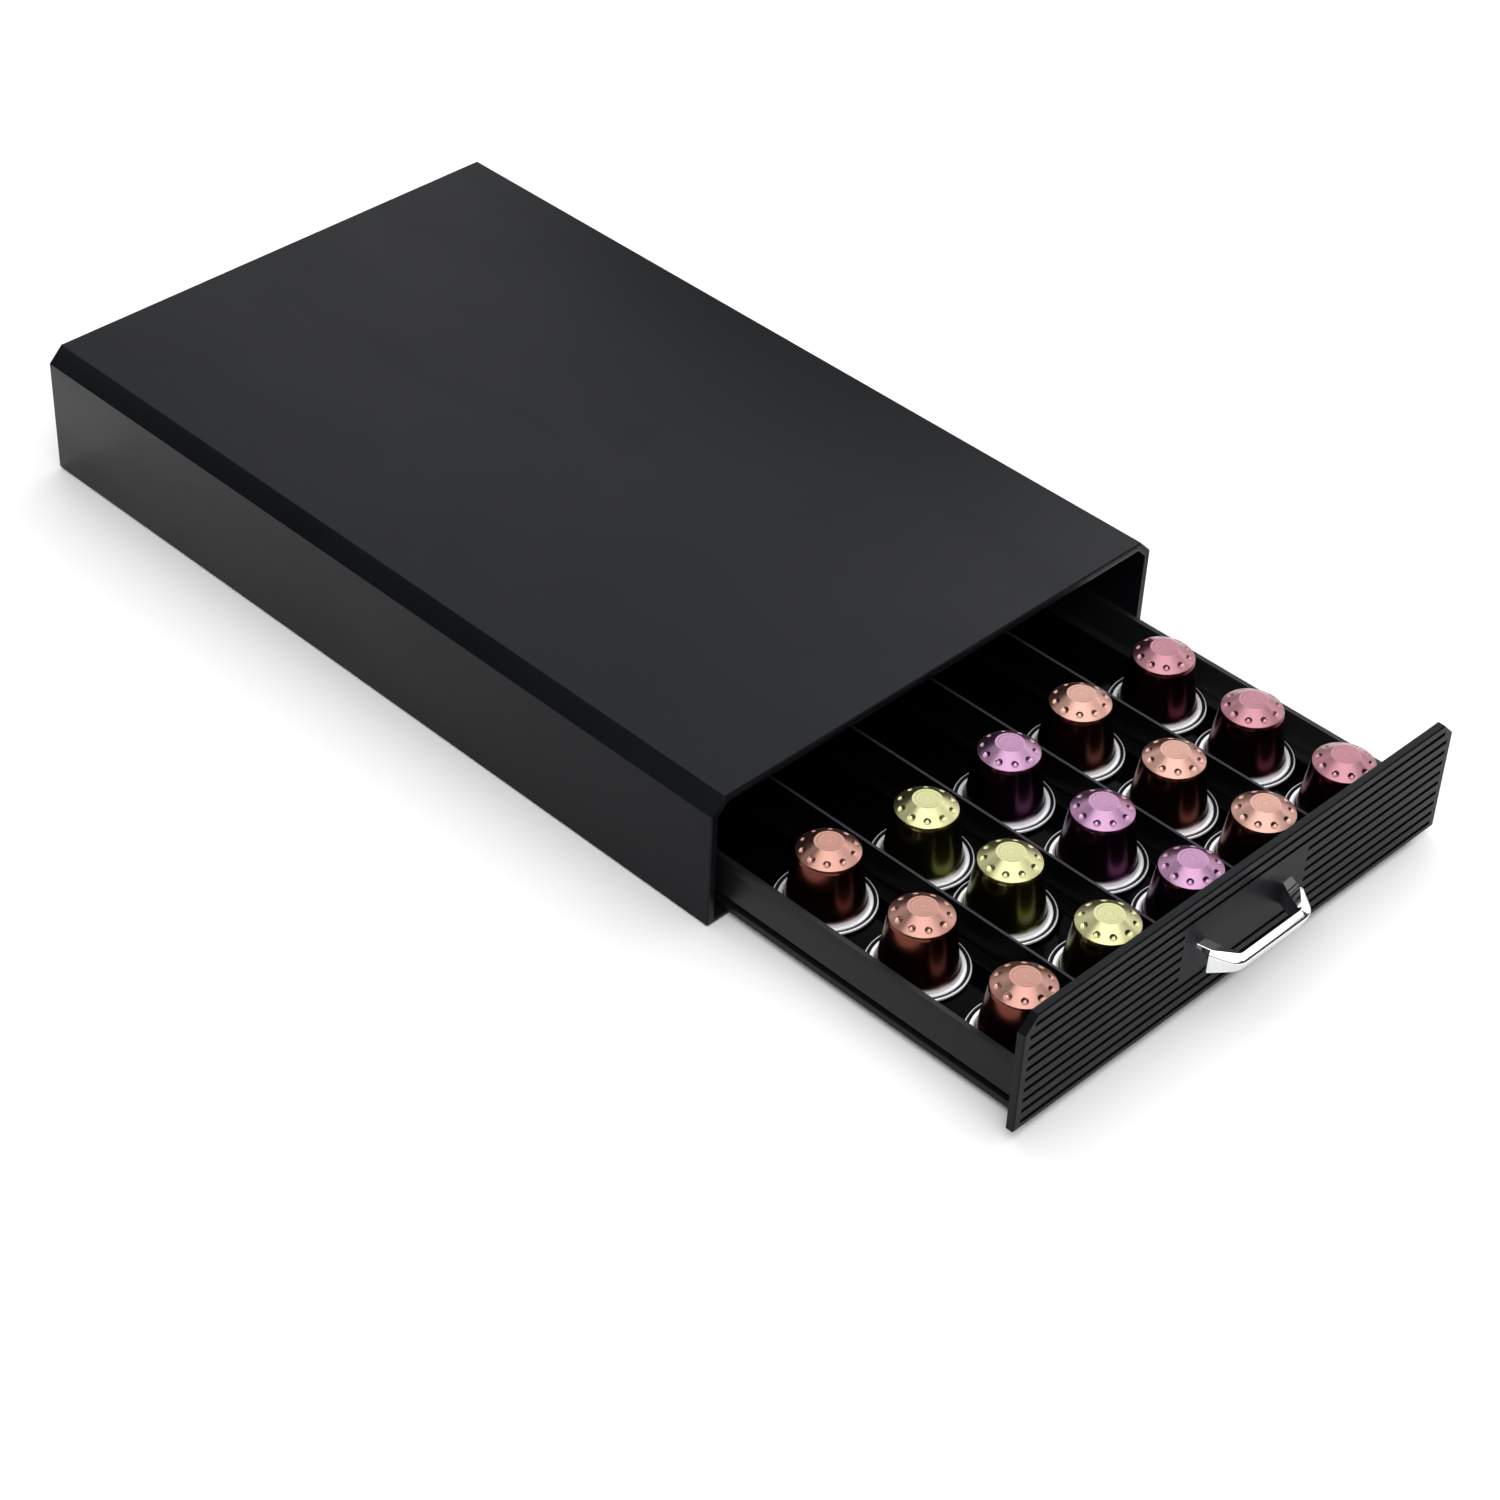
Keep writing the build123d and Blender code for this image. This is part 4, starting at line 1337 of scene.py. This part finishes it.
# ----------------------------------------------------------------------------------------- pods
@dataclass
class PodMaker:
    """Turns pods from one outline and presses the dimples into their crowns.

    Sizes are in millimetres.  Heights are measured from the channel's shelf.  The crown is the
    pod's top cone, with a flat disc in its middle that has a fine ring pressed into it.
    """

    rim_radius: float = 18.5
    rim_top: float = 1.2
    rim_low: float = 0.3
    bead: float = 1.2
    bead_rise: float = 0.1
    groove: float = 0.6
    groove_floor: float = 0.45
    groove_slope: float = 0.08
    flare_round: float = 2.0
    body_radius: float = 14.5
    body_lining_height: float = 3.9
    shoulder_radius: float = 11.45
    shoulder_height: float = 23.4
    collar: float = 0.25
    collar_drop: float = 0.6
    disc_radius: float = 5.3
    crown_top: float = 27.3
    ring_radius: float = 3.9
    ring_height: float = 0.07
    ring_land: float = 0.15
    ring_foot: float = 0.35
    wall: float = 0.5
    crown_wall: float = 0.9
    dimple_count: int = 10
    dimple_ring: float = 9.3
    dimple_radius: float = 1.32
    dimple_depth: float = 0.68
    fine_step: float = 0.16
    fine_margin: float = 0.5
    coarse_every: int = 4
    arc_steps: int = 8
    sides: int = 300
    crease_degrees: float = 38.0
    tree: GeometryTree = field(init=False)

    def __post_init__(self) -> None:
        """Build the tree that turns a pod."""
        self.tree = GeometryTree(
            "turned_pod",
            {
                "Sides": "NodeSocketInt",
                "Dimples": "NodeSocketInt",
                "Dimple Ring": "NodeSocketFloat",
                "Dimple Height": "NodeSocketFloat",
                "Dimple Radius": "NodeSocketFloat",
                "Dimple Depth": "NodeSocketFloat",
                "Crown Slope": "NodeSocketFloat",
                "Turn": "NodeSocketFloat",
                "Stand": "NodeSocketVector",
                "Finish": "NodeSocketMaterial",
            },
        )
        build, given = self.tree.build, self.tree.given
        grid, column, row = self.lay_grid()
        radius, height = self.read_outline(row)
        angle = build.math("MULTIPLY", column, build.math("DIVIDE", math.tau, given["Sides"]))
        dip = self.press_dimple(radius, height, angle)
        inward = build.math("MULTIPLY", dip, build.math("SINE", given["Crown Slope"]))
        down = build.math("MULTIPLY", dip, build.math("COSINE", given["Crown Slope"]))
        spot = build.around(
            build.math("SUBTRACT", radius, inward),
            build.math("ADD", angle, given["Turn"]),
            build.math("SUBTRACT", height, down),
        )
        spot = build.vector("ADD", spot, given["Stand"]).outputs[0]
        kept = build.add(
            "GeometryNodeStoreNamedAttribute",
            {"Geometry": grid, "Name": RADIUS_ATTRIBUTE, "Value": radius},
            data_type="FLOAT",
            domain="POINT",
        ).outputs[0]
        turned = build.add("GeometryNodeSetPosition", {"Geometry": kept, "Position": spot})
        closed = build.add(
            "GeometryNodeMergeByDistance", {"Geometry": turned.outputs[0], "Distance": MERGE}
        )
        self.tree.close(closed.outputs[0])

    def lay_grid(self) -> tuple[Any, Any, Any]:
        """Lay the grid that becomes the pod's skin, a column for each side.

        Returns:
            The grid, and each point's column and its row along the outline.
        """
        build, given = self.tree.build, self.tree.given
        rows = build.add(
            "GeometryNodeAttributeDomainSize", {0: given["Geometry"]}, component="MESH"
        ).outputs["Point Count"]
        columns = build.math("ADD", given["Sides"], 1.0)
        grid = build.add(
            "GeometryNodeMeshGrid",
            {"Size X": 1.0, "Size Y": 1.0, "Vertices X": columns, "Vertices Y": rows},
        ).outputs["Mesh"]
        index = build.add("GeometryNodeInputIndex").outputs[0]
        column = build.math("FLOOR", build.math("DIVIDE", build.math("ADD", index, 0.5), rows))
        row = build.math("SUBTRACT", index, build.math("MULTIPLY", column, rows))
        return grid, column, row

    def read_outline(self, row: Any) -> tuple[Any, Any]:
        """Read the outline's point for a row.

        Args:
            row: The row.

        Returns:
            The point's radius and height.
        """
        build, given = self.tree.build, self.tree.given
        outline_point = build.add(
            "GeometryNodeSampleIndex",
            {
                "Geometry": given["Geometry"],
                "Value": build.add("GeometryNodeInputPosition").outputs[0],
                "Index": row,
            },
            data_type="FLOAT_VECTOR",
            domain="POINT",
        )
        parts = build.add("ShaderNodeSeparateXYZ", {0: outline_point.outputs[0]}).outputs
        return parts[0], parts[2]

    def press_dimple(self, radius: Any, height: Any, angle: Any) -> Any:
        """Work out how deep the nearest dimple is at a point, from the ball that presses it.

        Args:
            radius: The point's radius.
            height: Its height.
            angle: How far round the pod it is.

        Returns:
            The depth, zero away from the dimples and on the inner wall.
        """
        build, given = self.tree.build, self.tree.given
        half_pitch = build.math("DIVIDE", math.pi, given["Dimples"])
        off = build.math("WRAP", angle, half_pitch, build.math("MULTIPLY", half_pitch, -1.0))
        here = build.around(radius, off, height)
        centre = build.combine(given["Dimple Ring"], 0.0, given["Dimple Height"])
        gap = build.vector("DISTANCE", here, centre).outputs["Value"]
        depth, reach = given["Dimple Depth"], given["Dimple Radius"]
        ball = build.math(
            "DIVIDE",
            build.math("MULTIPLY_ADD", reach, reach, build.math("MULTIPLY", depth, depth)),
            build.math("MULTIPLY", depth, 2.0),
        )
        square = build.math(
            "SUBTRACT", build.math("MULTIPLY", ball, ball), build.math("MULTIPLY", gap, gap)
        )
        dip = build.math(
            "SUBTRACT",
            build.math("SQRT", build.math("MAXIMUM", square, 0.0)),
            build.math("SUBTRACT", ball, depth),
        )
        dip = build.math("MAXIMUM", dip, 0.0)
        lowest = build.math("SUBTRACT", given["Dimple Height"], MM)
        return build.math("MULTIPLY", dip, build.math("GREATER_THAN", height, lowest))

    def outline(self) -> list[Point2]:
        """Draw the pod's outline: over the crown, down the wall, round the rim and up inside.

        Returns:
            The outline's points, as radius and height, from the crown's middle.
        """
        low_disc = self.crown_top - self.ring_height
        ring, disc = self.ring_radius, self.disc_radius
        shoulder, shoulder_z = self.shoulder_radius, self.shoulder_height
        bead_inner = self.rim_radius - self.bead
        bead_top = self.rim_top + self.bead_rise
        flare_edge = bead_inner - self.groove
        outer = rounded(
            [
                (0.0, low_disc, 0),
                (ring - self.ring_foot, low_disc, 0.1),
                (ring - self.ring_land, self.crown_top, 0.1),
                (ring + self.ring_land, self.crown_top, 0.1),
                (ring + self.ring_foot, low_disc, 0.1),
                (disc - 0.55, low_disc, 0.2),
                (disc - 0.25, self.crown_top, 0.2),
                (disc + 0.05, self.crown_top - 0.03, 0.25),
                (shoulder, shoulder_z, 0.25),
                (shoulder + self.collar, shoulder_z - self.collar_drop, 0.15),
                (shoulder + 0.05, shoulder_z - 1.0, 0.2),
                (shoulder + 0.3, shoulder_z - 1.7, 0.6),
                (self.body_radius + 0.1, self.rim_top + 0.06, self.flare_round),
                (flare_edge, self.rim_top, 0.12),
                (flare_edge + self.groove_slope, self.groove_floor, 0.1),
                (bead_inner - self.groove_slope, self.groove_floor, 0.1),
                (bead_inner, bead_top, 0.5),
                (self.rim_radius, bead_top, 0.5),
                (self.rim_radius, self.rim_low, 0.25),
                (flare_edge - self.wall, self.rim_low, 0),
            ],
            steps=self.arc_steps,
        )
        inner_top = self.crown_top - self.crown_wall
        inner = [
            (self.body_radius - self.wall, self.body_lining_height),
            (shoulder - self.wall, shoulder_z - self.crown_wall),
            (disc, inner_top),
            (0.0, inner_top),
        ]
        return self.finer(outer) + inner

    def finer(self, path: list[Point2]) -> list[Point2]:
        """Add points to an outline where it crosses the dimples.

        Args:
            path: The outline's points, as radius and height.

        Returns:
            The same outline, in fine steps over the dimples and coarse ones beside them.
        """
        reach = self.dimple_radius + self.fine_step
        made = [path[0]]
        for (x0, z0), (x1, z1) in zip(path, path[1:]):
            above = z0 > self.shoulder_height - self.fine_margin
            crosses = above and x1 > self.disc_radius + self.fine_margin
            length = math.hypot(x1 - x0, z1 - z0)
            pieces = max(1, round(length / self.fine_step)) if crosses else 1
            for step in range(1, pieces + 1):
                x = x0 + (x1 - x0) * step / pieces
                outside = abs(x - self.dimple_ring) > reach
                if outside and step % self.coarse_every and step != pieces:
                    continue
                made.append((x, z0 + (z1 - z0) * step / pieces))
        return made

    def make(self, name: str, stand: Vector, turn: float, finish: Finish) -> bpy.types.Object:
        """Turn one pod.

        Args:
            name: The new piece's name.
            stand: The middle of its foot, in metres.
            turn: How far its first dimple is turned from +X, in radians.
            finish: The finish it gets.

        Returns:
            The pod.
        """
        slope = math.atan2(
            self.crown_top - self.shoulder_height, self.shoulder_radius - self.disc_radius
        )
        dimple_height = self.crown_top - math.tan(slope) * (self.dimple_ring - self.disc_radius)
        points = [scaled((x, 0.0, z)) for x, z in self.outline()]
        mesh = bpy.data.meshes.new(name)
        mesh.from_pydata(points, [(n, n + 1) for n in range(len(points) - 1)], [])
        return self.tree.run(
            new_object(name, mesh),
            self.crease_degrees,
            Sides=self.sides,
            Dimples=self.dimple_count,
            Dimple_Ring=self.dimple_ring * MM,
            Dimple_Height=dimple_height * MM,
            Dimple_Radius=self.dimple_radius * MM,
            Dimple_Depth=self.dimple_depth * MM,
            Crown_Slope=slope,
            Turn=turn,
            Stand=stand,
            Finish=finish.material(),
        )


@dataclass
class PodRows:
    """The pods in the drawer's channels, three to a row, and their foil lids.

    Args:
        body: The CAD body that they ride on.
        turns: Each pod's turn in degrees, from the front of its channel.
    """

    body: str = "drawer"
    turns: dict[PodColour, tuple[float, float, float]] = field(
        default_factory=lambda: {
            PodColour.COPPER: (6, 20, 4),
            PodColour.OLIVE: (14, 31, 8),
            PodColour.LILAC: (0, 27, 18),
            PodColour.PEACH: (24, 11, 2),
            PodColour.ROSE: (16, 29, 9),
        }
    )

    def build(self, maker: PodMaker) -> None:
        """Make every pod where its CAD node stands, and dress the foils.

        Args:
            maker: The maker of the pods.
        """
        for colour, turns in self.turns.items():
            label = colour.name.lower()
            finish = TintedAluminium(f"pod_{label}", colour.value)
            for number, turn in enumerate(turns, start=1):
                node, foil = f"pod_{label}_{number}", f"foil_{label}_{number}"
                low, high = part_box(node)
                stand = (low + high) / 2
                stand.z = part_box(foil)[0].z
                pod = maker.make(f"{label}_pod_{number}", stand, math.radians(turn), finish)
                seat(pod, node, self.body)
                FOIL_LID.show(foil)


# --------------------------------------------------------------------------------------- studio
@dataclass
class SoftBox:
    """A flat studio light of even brightness.

    Args:
        name: The light's name.
        place: Where it hangs, in metres.
        size: Its width and height, in metres.
        brightness: Its radiance, where white paper in full light is about 1.
        facing: The way it shines, straight down unless told otherwise.
        turn: How far it is turned about the way it shines, in degrees.
    """

    name: str
    place: tuple[float, float, float]
    size: tuple[float, float]
    brightness: float
    facing: tuple[float, float, float] = (0.0, 0.0, -1.0)
    turn: float = 0.0

    def build(self) -> None:
        """Hang the light."""
        light = bpy.data.lights.new(self.name, "AREA")
        light.shape = "RECTANGLE"
        light.size, light.size_y = self.size
        light.energy = self.brightness * math.pi * self.size[0] * self.size[1]
        item = bpy.data.objects.new(self.name, light)
        bpy.context.scene.collection.objects.link(item)
        aim = Vector(self.facing).to_track_quat("-Z", "Y").to_matrix().to_4x4()
        spin = Matrix.Rotation(math.radians(self.turn), 4, "Z")
        item.matrix_world = Matrix.Translation(Vector(self.place)) @ aim @ spin


@dataclass
class Studio:
    """A plain pale floor, soft lights and the camera.

    The camera's angles are in degrees, its focal length and frame in the photograph's pixels
    and its sensor in millimetres.  All else is in metres.
    """

    floor_half: float = 6.0
    floor_tint: Colour = (0.9, 0.9, 0.9)
    floor_roughness: float = 0.9
    floor_specular: float = 0.1
    world_strength: float = 0.05
    camera_place: tuple[float, float, float] = (-0.76029, -0.72959, 0.81368)
    azimuth: float = -46.827
    elevation: float = 39.308
    roll: float = 2.966
    focal_pixels: float = 3493.854
    frame_pixels: float = 1500.0
    sensor: float = 36.0
    clip_start: float = 0.05
    clip_end: float = 50.0
    boxes: tuple[SoftBox, ...] = (
        SoftBox("overhead_softbox", (1.753, 0.735, 2.0), (3.96, 3.4), 1.7, turn=43.2),
        SoftBox("front_softbox", (-0.833, -1.057, 2.0), (2.26, 2.8), 2.3, turn=43.2),
        SoftBox("right_fill", (3.795, -0.565, 2.0), (2.8, 1.3), 1.4, turn=43.2),
        SoftBox("left_fill", (0.266, 2.681, 2.0), (3.46, 1.46), 0.7, turn=43.2),
        SoftBox("right_softbox", (2.4, 0.1, 0.8), (2.8, 1.3), 1.1, facing=(-1.0, 0.0, -0.2)),
        SoftBox("back_softbox", (0.5, 2.6, 0.95), (2.8, 1.6), 0.75, facing=(0.0, -1.0, -0.2)),
        SoftBox("floor_softbox", (-1.9, -1.7, 2.4), (1.6, 1.6), 3.2, facing=(0.62, 0.55, -0.8)),
    )

    def build(self) -> None:
        """Make the floor, the lights and the camera."""
        self.build_floor()
        for box in self.boxes:
            box.build()
        world = bpy.data.worlds.new("studio")
        world.use_nodes = True
        backdrop = world.node_tree.nodes["Background"]
        backdrop.inputs["Color"].default_value = (1, 1, 1, 1)
        backdrop.inputs["Strength"].default_value = self.world_strength
        bpy.context.scene.world = world
        bpy.context.scene.view_settings.view_transform = "Standard"
        self.build_camera()

    def build_floor(self) -> None:
        """Make the pale floor."""
        half = self.floor_half
        mesh = bpy.data.meshes.new("studio_floor")
        corners = [(-half, -half, 0), (half, -half, 0), (half, half, 0), (-half, half, 0)]
        mesh.from_pydata(corners, [], [(0, 1, 2, 3)])
        floor = new_object("studio_floor", mesh)
        paper = bpy.data.materials.new("studio_paper")
        paper.use_nodes = True
        shader = paper.node_tree.nodes["Principled BSDF"]
        shader.inputs["Base Color"].default_value = (*self.floor_tint, 1)
        shader.inputs["Roughness"].default_value = self.floor_roughness
        shader.inputs["Specular IOR Level"].default_value = self.floor_specular
        floor.data.materials.append(paper)

    def build_camera(self) -> None:
        """Set the camera where the photograph was taken from."""
        azimuth, elevation, roll = (
            math.radians(value) for value in (self.azimuth, self.elevation, self.roll)
        )
        back = Vector(
            (
                math.sin(azimuth) * math.cos(elevation),
                -math.cos(azimuth) * math.cos(elevation),
                math.sin(elevation),
            )
        )
        level = Vector((0, 0, 1)).cross(back).normalized()
        upright = back.cross(level)
        right = level * math.cos(roll) + upright * math.sin(roll)
        up = upright * math.cos(roll) - level * math.sin(roll)
        lens = bpy.data.cameras.new("camera")
        lens.sensor_width = self.sensor
        lens.lens = self.focal_pixels / self.frame_pixels * self.sensor
        lens.clip_start, lens.clip_end = self.clip_start, self.clip_end
        camera = bpy.data.objects.new("camera", lens)
        bpy.context.scene.collection.objects.link(camera)
        turn = Matrix((right, up, back)).transposed().to_4x4()
        camera.matrix_world = Matrix.Translation(Vector(self.camera_place)) @ turn
        bpy.context.scene.camera = camera


# ----------------------------------------------------------------------------------------- main
def main() -> None:
    """Build the looks in order."""
    logging.basicConfig(level=logging.INFO, format="%(name)s %(message)s")
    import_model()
    make_moulded_grain()
    make_handling_marks()
    make_drawn_metal()
    Studio().build()
    screws = ScrewMaker()
    Housing().build(screws)
    Tray().build(screws)
    Front().build(screws)
    PodRows().build(PodMaker())


if __name__ == "__main__":
    main()
